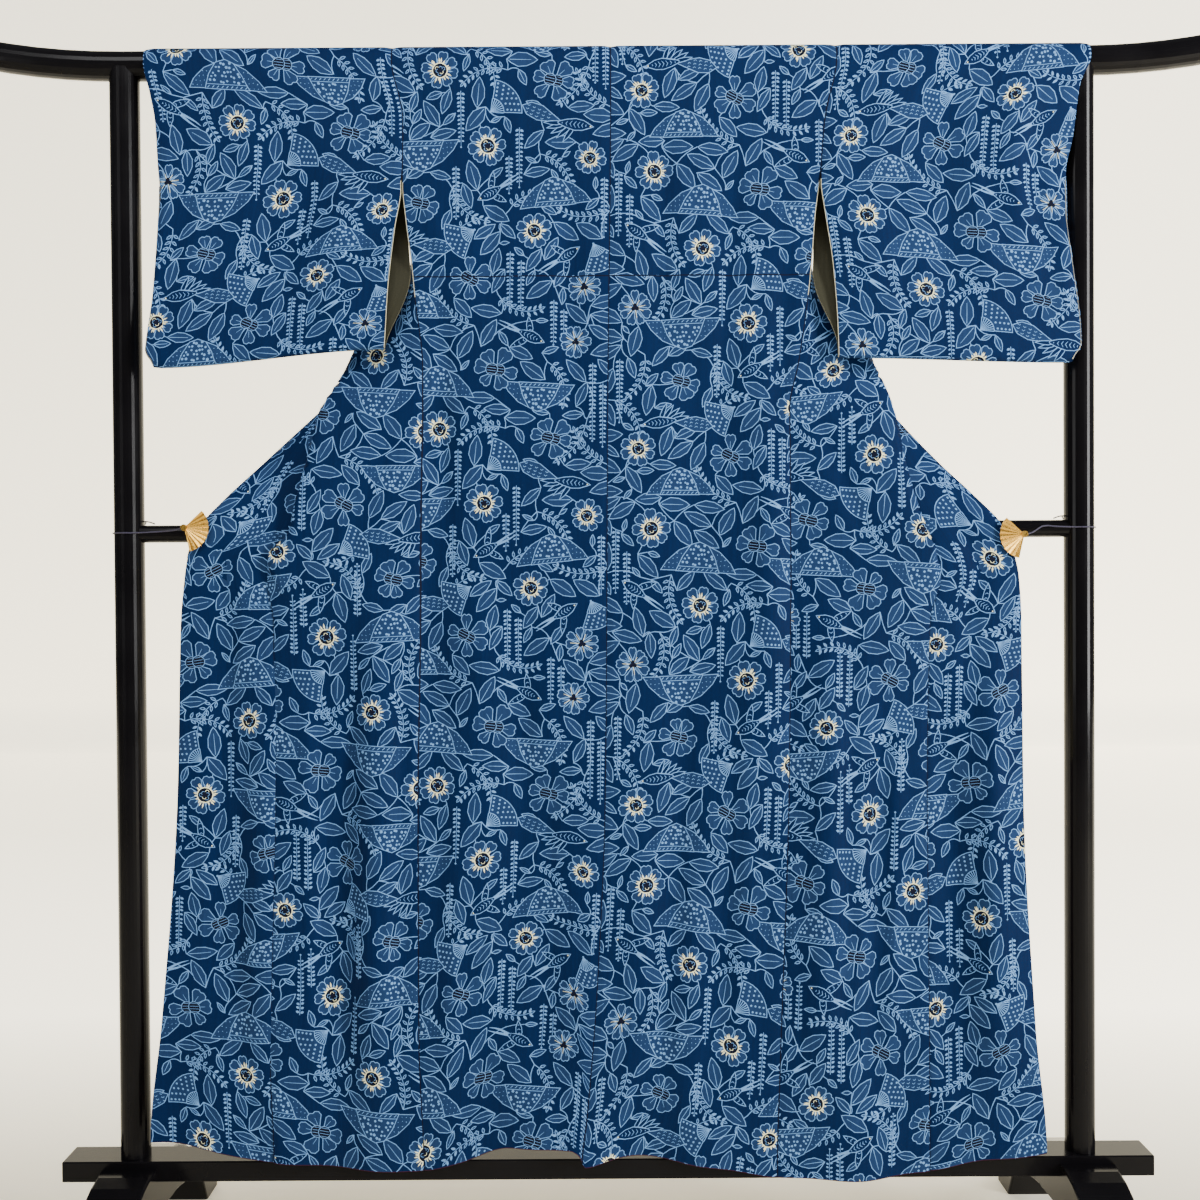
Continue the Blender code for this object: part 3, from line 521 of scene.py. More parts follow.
def sleeve_row(side, drop, shares, layer):
    """One layer of the sleeve at a drop, from the sleeve seam (0) to the hand (1)."""
    free = (drop - SLEEVE_SEAM_DROP) / (SLEEVE_LAST_DROP - SLEEVE_SEAM_DROP)
    inner_bottom, outer_bottom = SLEEVE_BOTTOM[side]
    row = []
    for share in shares:
        level = drop
        if free > 0:
            bottom = mix(inner_bottom, outer_bottom, ease(share, 0.0, 1.0))
            level = mix(SLEEVE_SEAM_DROP, bottom, free)
        inner = SLEEVE[side].at("inner", level) + SEAM_CLEARANCE
        if drop <= SLEEVE_SEAM_DROP:
            inner = max(inner, OUTLINE[side].at("side", drop) + 3 * SEAM_CLEARANCE)
        if layer == "far":
            near_body = OUTLINE[side].at("side", level) + FAR_LAYER_GAP
            inner = mix(min(near_body, inner), inner, ease(level, *FAR_LAYER_LEAVES))
        outer = SLEEVE[side].at("outer", level) - SLEEVE_CORNER * ease(free, CORNER_START, 1.0)
        y = SLEEVE_LAYERS.at(layer, level)
        row.append(Vector((SIDES[side] * mix(inner, outer, share), y, CLOTH_TOP - level)))
    return row


def over_bar(near, far, angle):
    """A row on the way over the bar, between the same row's places on both sides."""
    y = -FOLD_RADIUS * math.cos(angle)
    z = BAR_AXIS + FOLD_RADIUS * math.sin(angle)
    return [Vector((mix(a.x, b.x, angle / math.pi), y, z)) for a, b in zip(near, far)]


def fold_rows(near, far, last):
    """The rows over the bar up to the last step, and their places along the cloth."""
    rows, along = [], []
    for step in range(1, last + 1):
        rows.append(over_bar(near, far, math.pi * step / FOLD_STEPS))
        along.append(-FOLD_DROP + 2 * HALF_FOLD * step / FOLD_STEPS)
    return rows, along


def collar_line(side, out=None, drop=None):
    """Both edges of the collar at one place of the neck (out) or of the front edge (drop)."""
    sign = SIDES[side]
    if drop is None:
        turn = math.radians(COLLAR_NECK.at("lean", out))
        start = Vector((sign * out, FOLD_RADIUS, CLOTH_TOP - NECK_DROP - 2 * GAP))
        drift = Vector((-sign * math.sin(turn), COLLAR_STAND_OFF, -math.cos(turn)))
        return start, start + drift * COLLAR_NECK.at("reach", out)
    edge = OUTLINE[side].at("edge", drop) + COLLAR_FRONT.at("start_out", drop)
    y = DEPTH.at("edge", drop) + COLLAR_FRONT.at("start_y", drop)
    turn = math.radians(COLLAR_FRONT.at("lean", drop))
    start = Vector((sign * edge, y, CLOTH_TOP - drop))
    drift = Vector((-sign * math.sin(turn), COLLAR_FRONT.at("rise", drop), -math.cos(turn)))
    end = start + drift * COLLAR_FRONT.at("reach", drop)
    start.y += wave(start.x, drop)
    end.y += wave(end.x, CLOTH_TOP - end.z)
    return start, end


class Patch:
    """A stretch of cloth: a grid of points, by share across (0 to 1) and metres along."""

    def __init__(self, name, along, shares, rows, facing):
        self.name = name
        self.along = np.array(along, float)
        self.shares = np.array(shares, float)
        self.points = np.array([[tuple(p) for p in row] for row in rows], float)
        self.outward = 1.0
        self.settle()
        middle = (len(rows) // 2 if facing[0] is None else facing[0], len(shares) // 2)
        if np.dot(self.find_normals()[middle], facing[1]) < 0:
            self.outward = -1.0
        self.press_creases()
        self.settle()

    def settle(self):
        """Measures the grid again after its points have moved."""
        runs = np.linalg.norm(np.diff(self.points, axis=1), axis=2)
        start = np.zeros((len(self.points), 1))
        self.across = np.concatenate([start, np.cumsum(runs, axis=1)], axis=1)
        self.widths = self.across[:, -1]
        self.normals = self.find_normals()

    def find_normals(self):
        down = np.gradient(self.points, axis=0)
        right = np.gradient(self.points, axis=1)
        normals = np.cross(down, right)
        normals /= np.maximum(np.linalg.norm(normals, axis=2, keepdims=True), 1e-12)
        return normals * self.outward

    def press_creases(self):
        """Moves the points along their normals into troughs, ridges and seam valleys."""
        normals = self.find_normals()
        along = np.broadcast_to(self.along[:, None], self.across.shape)
        move = np.zeros(self.across.shape)
        for a0, t0, a1, t1, reach, depth in CREASES.get(self.name, ()):
            run, rise = a1 - a0, t1 - t0
            share = ((self.across - a0) * run + (along - t0) * rise) / (run**2 + rise**2)
            share = np.clip(share, 0, 1)
            away = np.hypot(self.across - a0 - share * run, along - t0 - share * rise)
            fade = np.clip(np.minimum(share, 1 - share) / CREASE_FADE, 0, 1)
            fade = fade * fade * (3 - 2 * fade)
            depth = max(min(FOLD_GROWTH * depth, STEEPEST * reach), -STEEPEST * reach)
            move -= depth * fade * np.exp(-((away / reach) ** 2))
        edge = np.minimum(self.across, self.widths[:, None] - self.across)
        move -= SEAM_VALLEY * np.exp(-((edge / SEAM_REACH) ** 2))
        if self.name.startswith("back"):
            move -= TUCK_DEPTH * np.exp(-(((along + TUCK_DROP) / TUCK_REACH) ** 2))
        self.points = self.points + normals * move[:, :, None]

    def row_at(self, along):
        row = np.interp(along, self.along, np.arange(len(self.along)))
        low = np.minimum(row.astype(int), len(self.along) - 2)
        return low, row - low

    def width_at(self, along):
        return np.interp(along, self.along, self.widths)

    def share_at(self, away, along):
        """The shares that lie these distances from the first edge, and past both edges too."""
        low, blend = self.row_at(along)
        found = np.zeros(len(away))
        for r in np.unique(low):
            here = low == r
            for row, weight in ((r, 1 - blend[here]), (r + 1, blend[here])):
                width = self.widths[row]
                share = np.interp(away[here], self.across[row], self.shares)
                share += np.minimum(away[here], 0) / width
                share += np.maximum(away[here] - width, 0) / width
                found[here] += share * weight
        return found

    def sample(self, shares, along):
        """Points, normals and distances from the first edge at (share, along) pairs."""
        column = np.interp(shares, self.shares, np.arange(len(self.shares)))
        c = np.minimum(column.astype(int), len(self.shares) - 2)
        r, v = self.row_at(along)
        u, v = (column - c)[:, None], v[:, None]
        found = []
        for grid in (self.points, self.normals, self.across[:, :, None]):
            top = grid[r, c] * (1 - u) + grid[r, c + 1] * u
            low = grid[r + 1, c] * (1 - u) + grid[r + 1, c + 1] * u
            found.append(top * (1 - v) + low * v)
        points, normals, away = found
        return points, normals / np.linalg.norm(normals, axis=1, keepdims=True), away[:, 0]


def panel_shares(inner_steps):
    """Shares across a panel, closer together at both edges."""
    inside = np.linspace(0.06, 0.94, inner_steps)
    return [0.0, 0.012, 0.03] + list(inside) + [0.97, 0.988, 1.0]


TO_VIEWER = np.array((0.0, -1.0, 0.0))
TO_WALL = np.array((0.0, 1.0, 0.0))
# Cloth from the top of the bar to its middle height on one side
HALF_FOLD = math.pi * FOLD_RADIUS / 2
# Along the cloth, a place behind the bar is its drop plus this
FAR_SHIFT = 2 * (HALF_FOLD - FOLD_DROP)


def back_patch(side):
    """The back and its way over the bar, from the hem up. Along is minus the drop."""
    shares = panel_shares(BACK_COLUMNS)
    drops = list(steps(HEM_DROP, FOLD_DROP, ROW_STEP))
    rows = [back_row(side, drop, shares) for drop in drops]
    near = rows[-1]
    neck = NECK_HALF_WIDTH / OUTLINE[side].at("side", FOLD_DROP)
    front_shares = [min(1 - (share - neck) / (1 - neck), 1.0) for share in shares]
    fronts = front_row(side, FOLD_DROP, front_shares)
    far = []
    for share, point, front in zip(shares, near, fronts):
        far.append(Vector((front.x if share > neck else point.x, FOLD_RADIUS, point.z)))
    folds, over = fold_rows(near, far, FOLD_STEPS)
    rows += folds
    along = [-drop for drop in drops] + over
    for drop in (0.5 * (FOLD_DROP + NECK_DROP), NECK_DROP):
        rows.append([Vector((point.x, point.y, CLOTH_TOP - drop)) for point in rows[-1]])
        along.append(drop + FAR_SHIFT)
    return Patch(f"back_{side}", along, shares, rows, (len(drops) // 2, TO_VIEWER))


def hanging_patch(name, side, start_drop, columns, make_row):
    """A panel from its first drop to the hem. Along is the drop."""
    shares = panel_shares(columns)
    drops = list(steps(start_drop, HEM_DROP, ROW_STEP))
    rows = [make_row(side, drop, shares) for drop in drops]
    return Patch(f"{name}_{side}", drops, shares, rows, (len(drops) - FACING_ROW, TO_VIEWER))


def front_patch(side):
    return hanging_patch("front", side, FOLD_DROP, FRONT_COLUMNS, front_row)


def okumi_patch(side):
    return hanging_patch("okumi", side, OKUMI_START_DROP, OKUMI_COLUMNS, okumi_row)


def sleeve_patch(side):
    """The sleeve's near layer from the bottom up, over the bar and down the far layer."""
    shares = panel_shares(SLEEVE_COLUMNS)
    drops = list(steps(SLEEVE_LAST_DROP, FOLD_DROP, ROW_STEP))
    near = [sleeve_row(side, drop, shares, "near") for drop in drops]
    far = [sleeve_row(side, drop, shares, "far") for drop in drops]
    folds, over = fold_rows(near[-1], far[-1], FOLD_STEPS - 1)
    bottom = []
    for a, b in zip(near[0], far[0]):
        middle = a.lerp(b, 0.5)
        bottom.append(Vector((middle.x, middle.y, middle.z - (b.y - a.y) / 3)))

    def turned(layer):
        pairs = zip(layer, bottom)
        return [a.lerp(b, 0.5) + Vector((0, (a.y - b.y) / 6, 0)) for a, b in pairs]

    rows = [bottom, turned(near[0])] + near + folds + far[::-1] + [turned(far[0]), bottom]
    turn = [SLEEVE_LAST_DROP + SLEEVE_TURN, SLEEVE_LAST_DROP + 2 * SLEEVE_TURN]
    downwards = drops[::-1] + turn
    along = [-drop for drop in downwards[::-1]] + over
    along += [drop + FAR_SHIFT for drop in downwards]
    return Patch(f"sleeve_{side}", along, shares, rows, (len(drops) // 2, TO_VIEWER))


def sleeve_end_patch(side):
    """The closed outer edge of the sleeve, under the hand opening, from near to far layer."""
    drops = list(steps(HAND_OPENING_DROP, SLEEVE_LAST_DROP, ROW_STEP))
    shares = list(np.linspace(0, 1, SLEEVE_END_COLUMNS))
    rows = []
    for drop in drops:
        near, far = (sleeve_row(side, drop, [1.0], layer)[0] for layer in ("near", "far"))
        bulge = SIDES[side] * SLEEVE_END_BULGE * (far.y - near.y)
        row = [near.lerp(far, share) for share in shares]
        for spot, share in zip(row, shares):
            spot.x += bulge * math.sin(math.pi * share)
        rows.append(row)
    outwards = np.array((float(SIDES[side]), 0.0, 0.0))
    return Patch(f"sleeve_end_{side}", drops, shares, rows, (SLEEVE_END_COLUMNS // 2, outwards))


def collar_patch():
    """The collar, from its left end up over the neck to its right end."""
    shares = list(np.linspace(0, 1, COLLAR_COLUMNS))
    outs = steps(0.0, COLLAR_NECK_OUT, COLLAR_ROW_STEP)
    drops = steps(COLLAR_START_DROP, COLLAR_END_DROP, COLLAR_ROW_STEP)
    halves = {}
    for side in SIDES:
        lines = [collar_line(side, out=out) for out in outs]
        halves[side] = lines + [collar_line(side, drop=drop) for drop in drops]
    lines = halves["left"][::-1] + halves["right"][1:]
    rows = [[start.lerp(end, share) for share in shares] for start, end in lines]
    middles = [start.lerp(end, 0.5) for start, end in lines]
    along = [0.0]
    for a, b in zip(middles, middles[1:]):
        along.append(along[-1] + (b - a).length)
    return Patch("collar", along, shares, rows, (None, TO_WALL))


# The print, in centimetres on one repeat of the cloth: u across the bolt, v along it
REPEAT_WIDTH = 36.0
REPEAT_LENGTH = 48.6
INKS = ("ground", "fill", "line", "cream", "dark")
PRINT_SEED = 11
LINE = 0.1

# The repeat is cut block by block. Points closer than WELD are one. A corner closer than
# STRAIGHT to the line between its neighbours is left out, and no edge is over LONGEST
BLOCKS_ACROSS = 8
BLOCKS_ALONG = 11
WELD = 0.0004
STRAIGHT = 0.03
LONGEST = 1.3
# Where points are added in each block, as shares of its sides
GROUND_SHARES = (0.13, 0.38, 0.63, 0.88)
# How far past a panel's ends the printed triangles are kept, in metres
LAY_MARGIN = 0.02

# Half outlines as shares of a shape's length and width
LEAF = ((0.0, 0.0), (0.12, 0.22), (0.36, 0.48), (0.64, 0.44), (0.88, 0.2), (1.0, 0.0))
LEAFLET = ((0.0, 0.0), (0.3, 0.48), (0.68, 0.44), (1.0, 0.0))
LOZENGE = ((0.0, 0.0), (0.5, 0.5), (1.0, 0.0))
HEART = ((0.0, 0.07), (0.34, 0.28), (0.66, 0.5), (0.9, 0.42), (1.0, 0.18), (0.93, 0.0))
BODY = ((0.0, 0.0), (0.1, 0.16), (0.3, 0.42), (0.52, 0.5), (0.78, 0.34), (1.0, 0.1))
PLUME = ((0.0, 0.06), (0.25, 0.26), (0.55, 0.5), (0.82, 0.42), (1.0, 0.0))

FLOWERS = Table(
    "u v radius kind",
    (6.0, 4.5, 2.7, "glow"),
    (20.5, 7.0, 3.1, "wide"),
    (31.5, 3.2, 2.3, "stamen"),
    (12.8, 15.0, 2.6, "glow"),
    (28.2, 16.4, 3.1, "wide"),
    (3.6, 23.0, 2.4, "stamen"),
    (19.2, 25.2, 2.7, "glow"),
    (33.2, 27.0, 2.3, "glow"),
    (10.0, 33.0, 3.0, "wide"),
    (25.6, 36.8, 2.5, "glow"),
    (4.2, 42.2, 2.4, "glow"),
    (16.8, 43.2, 3.0, "wide"),
    (32.6, 44.4, 2.4, "stamen"),
)
HATS = Table(
    "u v width turn",
    (12.6, 8.6, 10.5, 4.0),
    (26.4, 10.6, 10.0, 183.0),
    (10.2, 26.4, 10.5, 178.0),
    (28.4, 31.6, 10.0, -6.0),
    (10.0, 46.8, 9.5, 0.0),
)
FANS = Table(
    "u v radius turn",
    (19.6, 20.6, 4.4, -38.0),
    (17.4, 36.6, 4.2, 150.0),
    (33.8, 38.6, 4.0, 65.0),
)
SWALLOWS = Table(
    "u v length turn",
    (24.6, 2.2, 6.6, 25.0),
    (4.4, 13.2, 6.6, 215.0),
    (20.2, 31.2, 6.4, 150.0),
    (29.6, 40.4, 6.4, -32.0),
)
PHEASANTS = Table(
    "u v length turn",
    (29.6, 22.2, 10.0, 8.0),
    (8.6, 38.4, 9.6, 172.0),
)
STRANDS = Table(
    "u v length",
    (1.2, 4.6, 8.5),
    (2.7, 7.6, 7.0),
    (33.9, 6.2, 10.5),
    (35.3, 9.0, 8.5),
    (15.6, 17.8, 7.5),
    (23.6, 22.8, 8.0),
    (22.2, 26.6, 5.0),
    (14.9, 28.0, 7.0),
    (35.2, 29.6, 8.0),
    (1.6, 30.0, 8.5),
    (22.4, 39.6, 7.6),
    (23.9, 40.8, 6.4),
    (28.4, 46.2, 6.0),
    (29.8, 47.4, 4.6),
)
FERNS = Table(
    "u v length turn bend",
    (17.6, 1.0, 7.0, 190.0, 60.0),
    (27.6, 6.0, 6.5, 30.0, 75.0),
    (8.8, 10.8, 6.5, 110.0, -60.0),
    (17.0, 12.0, 6.0, 20.0, 70.0),
    (33.2, 13.8, 7.0, 100.0, 50.0),
    (22.0, 15.0, 6.5, 200.0, -70.0),
    (7.2, 18.6, 7.0, 60.0, 80.0),
    (26.4, 26.4, 6.5, 10.0, 70.0),
    (5.0, 29.4, 6.0, 80.0, 60.0),
    (14.4, 31.0, 6.5, 80.0, -70.0),
    (22.2, 34.0, 6.0, -60.0, 80.0),
    (13.4, 39.8, 6.0, -80.0, 60.0),
    (20.8, 45.4, 6.5, 60.0, -80.0),
    (36.0, 34.0, 7.0, 150.0, 60.0),
    (1.0, 35.6, 6.5, 20.0, 70.0),
    (36.0, 20.0, 6.5, 200.0, 50.0),
)

# Leaves grow where there is room: half lengths to try, the longest whole length, width as a
# share of length, the step between places and the least room that is still filled
LEAF_REACHES = (2.1, 1.8, 1.5, 1.2, 0.9, 0.72)
LONGEST_LEAF = 4.4
LEAF_WIDTH = 0.44
LEAF_PLACES = 0.4
LEAST_CLEARANCE = 0.6
# Room that a leaf needs at its tips, and beside it as a share of its half length
TIP_ROOM = 0.05
SIDE_ROOM = 0.2
# Leaves longer than this have a rib
RIBBED_LEAF = 1.6
# Stems shorter than this are left out, and the others bow by up to this share of their length
LEAST_STEM = 0.3
STEM_BOW = 0.18
# From one pair to the next on a strand and on a fern
BUD_STEP = 0.58
LEAFLET_STEP = 0.78
# Kept free of leaves: past a flower's petals, and round a fan's pivot and both kinds of stem
FLOWER_MARGIN = 0.15
PIVOT_COVER = 0.5
STRAND_COVER = 0.6
FERN_COVER = 0.72

# Start and end width of each kind of stroke, in centimetres
PENS = {
    "rib": (0.09, 0.05),
    "curl": (0.075, 0.06),
    "vein": (0.07, 0.04),
    "hatch": (0.05, 0.05),
    "stamen": (0.08, 0.04),
    "brim": (0.08, 0.08),
    "stitch": (0.09, 0.09),
    "fan_rib": (0.05, 0.13),
    "fork": (0.42, 0.06),
    "scallop": (0.09, 0.07),
    "frond": (0.11, 0.07),
    "stem": (0.1, 0.12),
}

# Petals of each flower: count, wobble in degrees, and as shares of the radius the start
# and the least and greatest length and width
PETALS = {
    "glow": (8, 4, 0.24, (0.68, 0.8), (0.54, 0.64)),
    "wide": (6, 7, 0.2, (0.64, 0.86), (0.52, 0.76)),
    "stamen": (9, 4, 0.25, (0.66, 0.78), (0.46, 0.58)),
}

# A bird's body and its feathers, each as start, length and width in shares of the bird's
# length, then the rows of feathers and the place of the eye
SWALLOW_BODY = ((0.44, 0.6, 0.24), (0.3, 0.45, 0.2), 6, 0.36)
PHEASANT_BODY = ((0.42, 0.5, 0.17), (0.34, 0.4, 0.15), 7, 0.37)

# Discs that cover a motif, as shares of its size: place along it and radius
COVERS = (
    (HATS, ((-0.34, 0.16), (-0.17, 0.16), (0.0, 0.16), (0.17, 0.16), (0.34, 0.16))),
    (FANS, ((0.68, 0.55),)),
    (SWALLOWS, ((-0.45, 0.12), (-0.15, 0.16), (0.1, 0.26), (0.35, 0.12))),
    (PHEASANTS, ((-0.5, 0.12), (-0.3, 0.12), (-0.1, 0.12), (0.1, 0.12), (0.3, 0.12))),
)


def towards(degrees, length=1.0):
    angle = math.radians(degrees)
    return Vector((math.cos(angle), math.sin(angle))) * length


def shape(base, turn, length, width, profile):
    """A closed outline along an axis, from half widths given as shares."""
    axis, side = towards(turn, length), towards(turn + 90, width)
    right = [base + axis * t - side * w for t, w in profile]
    left = [base + axis * t + side * w for t, w in reversed(profile) if w > 0]
    return right + left


def arc(start, turn, length, bend, count):
    """Points along a curve that leaves start at a turn and bends evenly."""
    points = [start.copy()]
    for step in range(count):
        heading = turn + bend * (step + 0.5) / count
        points.append(points[-1] + towards(heading, length / count))
    return points


def counter_clockwise(points):
    area = sum(a.cross(b) for a, b in zip(points, points[1:] + points[:1]))
    return points if area > 0 else points[::-1]


def inset(points, amount):
    """The outline moved inwards, with the corners kept from running too far."""
    moved = []
    for i, point in enumerate(points):
        before = (point - points[i - 1]).normalized()
        after = (points[(i + 1) % len(points)] - point).normalized()
        inwards = Vector((-before.y - after.y, before.x + after.x))
        inwards.normalize()
        slant = max(inwards.dot(Vector((-before.y, before.x))), 0.4)
        moved.append(point + inwards * (amount / slant))
    return moved


def within(point, outline):
    """Whether a point is inside a closed outline."""
    inside = False
    for a, b in zip(outline, outline[1:] + outline[:1]):
        if (a.y > point.y) != (b.y > point.y):
            if point.x < a.x + (b.x - a.x) * (point.y - a.y) / (b.y - a.y):
                inside = not inside
    return inside


class Drawing:
    """Flat shapes of ink on one repeat, in centimetres. Later shapes cover earlier ones."""

    def __init__(self):
        self.shapes = []
        self.spots = []

    def fill(self, points, ink):
        self.shapes.append((counter_clockwise(list(points)), INKS.index(ink)))

    def outlined(self, points, ink="fill", line=LINE):
        points = counter_clockwise(list(points))
        self.fill(points, "line")
        self.fill(inset(points, line), ink)

    def stroke(self, path, pen, ink="line"):
        left, right = [], []
        start_width, end_width = PENS[pen]
        for i, point in enumerate(path):
            run = (path[min(i + 1, len(path) - 1)] - path[max(i - 1, 0)]).normalized()
            half = mix(start_width, end_width, i / (len(path) - 1)) / 2
            left.append(point + Vector((-run.y, run.x)) * half)
            right.append(point - Vector((-run.y, run.x)) * half)
        for i in range(len(path) - 1):
            self.fill((left[i], right[i], right[i + 1], left[i + 1]), ink)

    def dot(self, centre, radius, ink="line", sides=5, turn=0.0):
        step = 360 / sides
        self.fill([centre + towards(turn + step * k, radius) for k in range(sides)], ink)

    def drop_hidden(self):
        """Leaves out every shape that lies wholly under a single later one."""
        boxes = self.boxes()
        shown = []
        for i, (points, ink) in enumerate(self.shapes):
            later = boxes[i + 1:]
            holds = (later[:, 0] <= boxes[i, 0]) & (later[:, 1] >= boxes[i, 1])
            holds &= (later[:, 2] <= boxes[i, 2]) & (later[:, 3] >= boxes[i, 3])
            covers = (self.shapes[i + 1 + k][0] for k in np.flatnonzero(holds))
            if not any(all(within(point, cover) for point in points) for cover in covers):
                shown.append((points, ink))
        self.shapes = shown

    def boxes(self):
        rows = []
        for points, _ in self.shapes:
            across, along = [p.x for p in points], [p.y for p in points]
            rows.append((min(across), max(across), min(along), max(along)))
        return np.array(rows)

    def take(self, centre, radius):
        """Marks a place as covered, so that leaves grow round it."""
        self.spots.append((centre.x, centre.y, radius))

    def take_path(self, path, radius):
        for point in path:
            self.take(point, radius)


def draw_leaf(page, base, turn, length, width):
    page.outlined(shape(base, turn, length, width, LEAF))
    if length > RIBBED_LEAF:
        rib = arc(base + towards(turn, length * 0.1), turn, length * 0.68, 0.0, 1)
        page.stroke(rib, "rib")


def draw_petals(page, centre, radius, kind, rng):
    """Notched petals round a centre. Gives back the first one's turn."""
    count, wobble, inner, lengths, widths = PETALS[kind]
    start = rng.uniform(0, 360 / count)
    for k in range(count):
        turn = start + k * 360 / count + rng.uniform(-wobble, wobble)
        base = centre + towards(turn, radius * inner)
        length = radius * rng.uniform(*lengths)
        page.outlined(shape(base, turn, length, radius * rng.uniform(*widths), HEART))
        if kind == "wide":
            root = base + towards(turn, radius * 0.16)
            page.stroke(arc(root, turn + 6, radius * 0.3, -12, 1), "vein")
    return start


def draw_glow_core(page, centre, radius, start, rng):
    """A brush of cream rays and a dark disc with pale curls."""
    for k in range(24):
        turn = start + k * 15 + rng.uniform(-5, 5)
        base = centre + towards(turn, radius * 0.36)
        ray = shape(base, turn, radius * rng.uniform(0.16, 0.36), radius * 0.085, LOZENGE)
        page.fill(ray, "line" if k % 4 == 0 else "cream")
    page.dot(centre, radius * 0.42, "cream", 14, start)
    page.dot(centre, radius * 0.37, "dark", 12, start)
    for k in range(6):
        spot = centre + towards(start + k * 60, radius * (0.24 if k % 2 else 0.16))
        curl = arc(spot, start + k * 60 + 40, radius * 0.3, 190, 3)
        page.stroke(curl, "curl", "line" if k % 3 else "cream")


def draw_wide_core(page, centre, radius, start, rng):
    """Two overlapping hatched discs."""
    for away in (0.17, -0.15):
        middle = centre + towards(start, radius * away)
        disc = [middle + towards(30 * n, radius * 0.28) for n in range(12)]
        page.outlined(disc, "dark", 0.08)
        for row, half in enumerate((0.13, 0.2, 0.2, 0.13)):
            spot = middle + towards(start + 90, (row - 1.5) * 0.12 * radius)
            reach = towards(start, radius * half)
            page.stroke([spot - reach, spot + reach], "hatch")


def draw_stamen_core(page, centre, radius, start, rng):
    """Many pale stamens round dark blotches."""
    for k in range(20):
        turn = start + k * 18 + rng.uniform(-6, 6)
        base = centre + towards(turn, radius * 0.14)
        ray = arc(base, turn, radius * rng.uniform(0.34, 0.54), 0, 1)
        page.stroke(ray, "stamen", "line" if k % 3 else "cream")
    for k in range(3):
        blotch = centre + towards(start + k * 120, radius * 0.12)
        page.dot(blotch, radius * 0.13, "dark", 6, start)


DRAW_CORE = {"glow": draw_glow_core, "wide": draw_wide_core, "stamen": draw_stamen_core}


def draw_flower(page, centre, radius, kind, rng):
    start = draw_petals(page, centre, radius, kind, rng)
    DRAW_CORE[kind](page, centre, radius, start, rng)


def draw_hat(page, centre, width, turn, rng):
    """A woven dome with side flaps: blossoms on the crown and a stitched brim."""
    along, up = towards(turn, width), towards(turn - 90, width * 0.4)

    def at(x, y):
        return centre + along * x + up * (y - 0.45)

    flap = ((0.22, 0.02), (0.5, 0.0), (0.42, 0.34), (0.27, 0.7), (0.1, 0.9))
    right = ((-0.3, 0.0), (0.28, 0.0), (0.21, 0.5), (0.12, 0.88))
    left = ((0.0, 1.0), (-0.12, 0.9), (-0.22, 0.5))
    for mirror in (-1, 1):
        page.outlined([at(mirror * x, y) for x, y in flap])
        for row in range(4):
            for column in range(4):
                x = mix(0.28, 0.44, column / 3) - row * 0.05
                y = 0.1 + row * 0.16 + rng.uniform(-0.02, 0.02)
                page.dot(at(mirror * x, y), mix(0.05, 0.08, column / 3), "line", 4)
    page.outlined([at(x, y) for x, y in right + left])
    page.stroke([at(-0.27, 0.17), at(0.25, 0.17)], "brim")
    for step in range(9):
        x = mix(-0.26, 0.22, step / 8)
        page.stroke([at(x, 0.05), at(x + 0.03, 0.12)], "stitch")
    for row, (half, count) in enumerate(((0.2, 8), (0.18, 7), (0.15, 6), (0.12, 5), (0.07, 3))):
        for column in range(count):
            x = mix(-half, half, column / (count - 1)) + rng.uniform(-0.02, 0.02)
            y = 0.27 + row * 0.145 + rng.uniform(-0.04, 0.04)
            page.dot(at(x, y), rng.uniform(0.15, 0.23), "line", 5, rng.uniform(0, 72))


def draw_fan(page, pivot, radius, turn, rng):
    """An open folding fan: bare ribs near the pivot and a leaf of small blossoms."""
    spread = 84
    turns = [turn + spread * (k / 8 - 0.5) for k in range(9)]
    near = radius * 0.42
    rim = [pivot + towards(t, radius) for t in turns]
    page.outlined(rim + [pivot + towards(t, near) for t in reversed(turns)])
    for t in turns:
        page.stroke([pivot, pivot + towards(t, near)], "fan_rib")
    for row in range(4):
        for k in range(4 + row):
            t = turn + spread * ((k + 0.5) / (4 + row) - 0.5)
            reach = mix(0.54, 0.9, row / 3) * radius
            page.dot(pivot + towards(t, reach), 0.16, "line", 5, rng.uniform(0, 72))
    page.dot(pivot, 0.16, "line", 6)


def draw_feathers(page, start, turn, length, width, rows):
    for row in range(rows):
        share = (row + 0.7) / (rows + 0.4)
        spot = start + towards(turn, length * share)
        reach = width * math.sin(math.pi * share) * 0.36
        for slant in (125, -125):
            page.stroke([spot, spot + towards(turn + slant, reach)], "rib")


def draw_bird_body(page, centre, length, turn, body, plumage, rows, eye):
    """A feathered body that tapers to the tail, with a pale eye."""
    start, reach, width = (length * share for share in body)
    page.outlined(shape(centre + towards(turn, start), turn + 180, reach, width, BODY), "ground")
    start, reach, width = (length * share for share in plumage)
    draw_feathers(page, centre + towards(turn, start), turn + 180, reach, width, rows)
    page.dot(centre + towards(turn, length * eye), 0.1, "cream", 5)


def draw_swallow(page, centre, length, turn):
    """A flying swallow with swept wings and a forked tail."""
    tail = centre - towards(turn, length * 0.1)
    for slant in (14, -13):
        page.stroke(arc(tail, turn + 180 + slant, length * 0.52, -slant * 1.5, 4), "fork")
    wing = centre + towards(turn, length * 0.12)
    for slant, reach in ((128, 0.5), (-122, 0.42)):
        reach *= length
        page.outlined(shape(wing, turn + slant, reach, length * 0.15, LEAF), "ground")
        draw_feathers(page, wing, turn + slant, reach * 0.9, length * 0.13, 4)
    draw_bird_body(page, centre, length, turn, *SWALLOW_BODY)


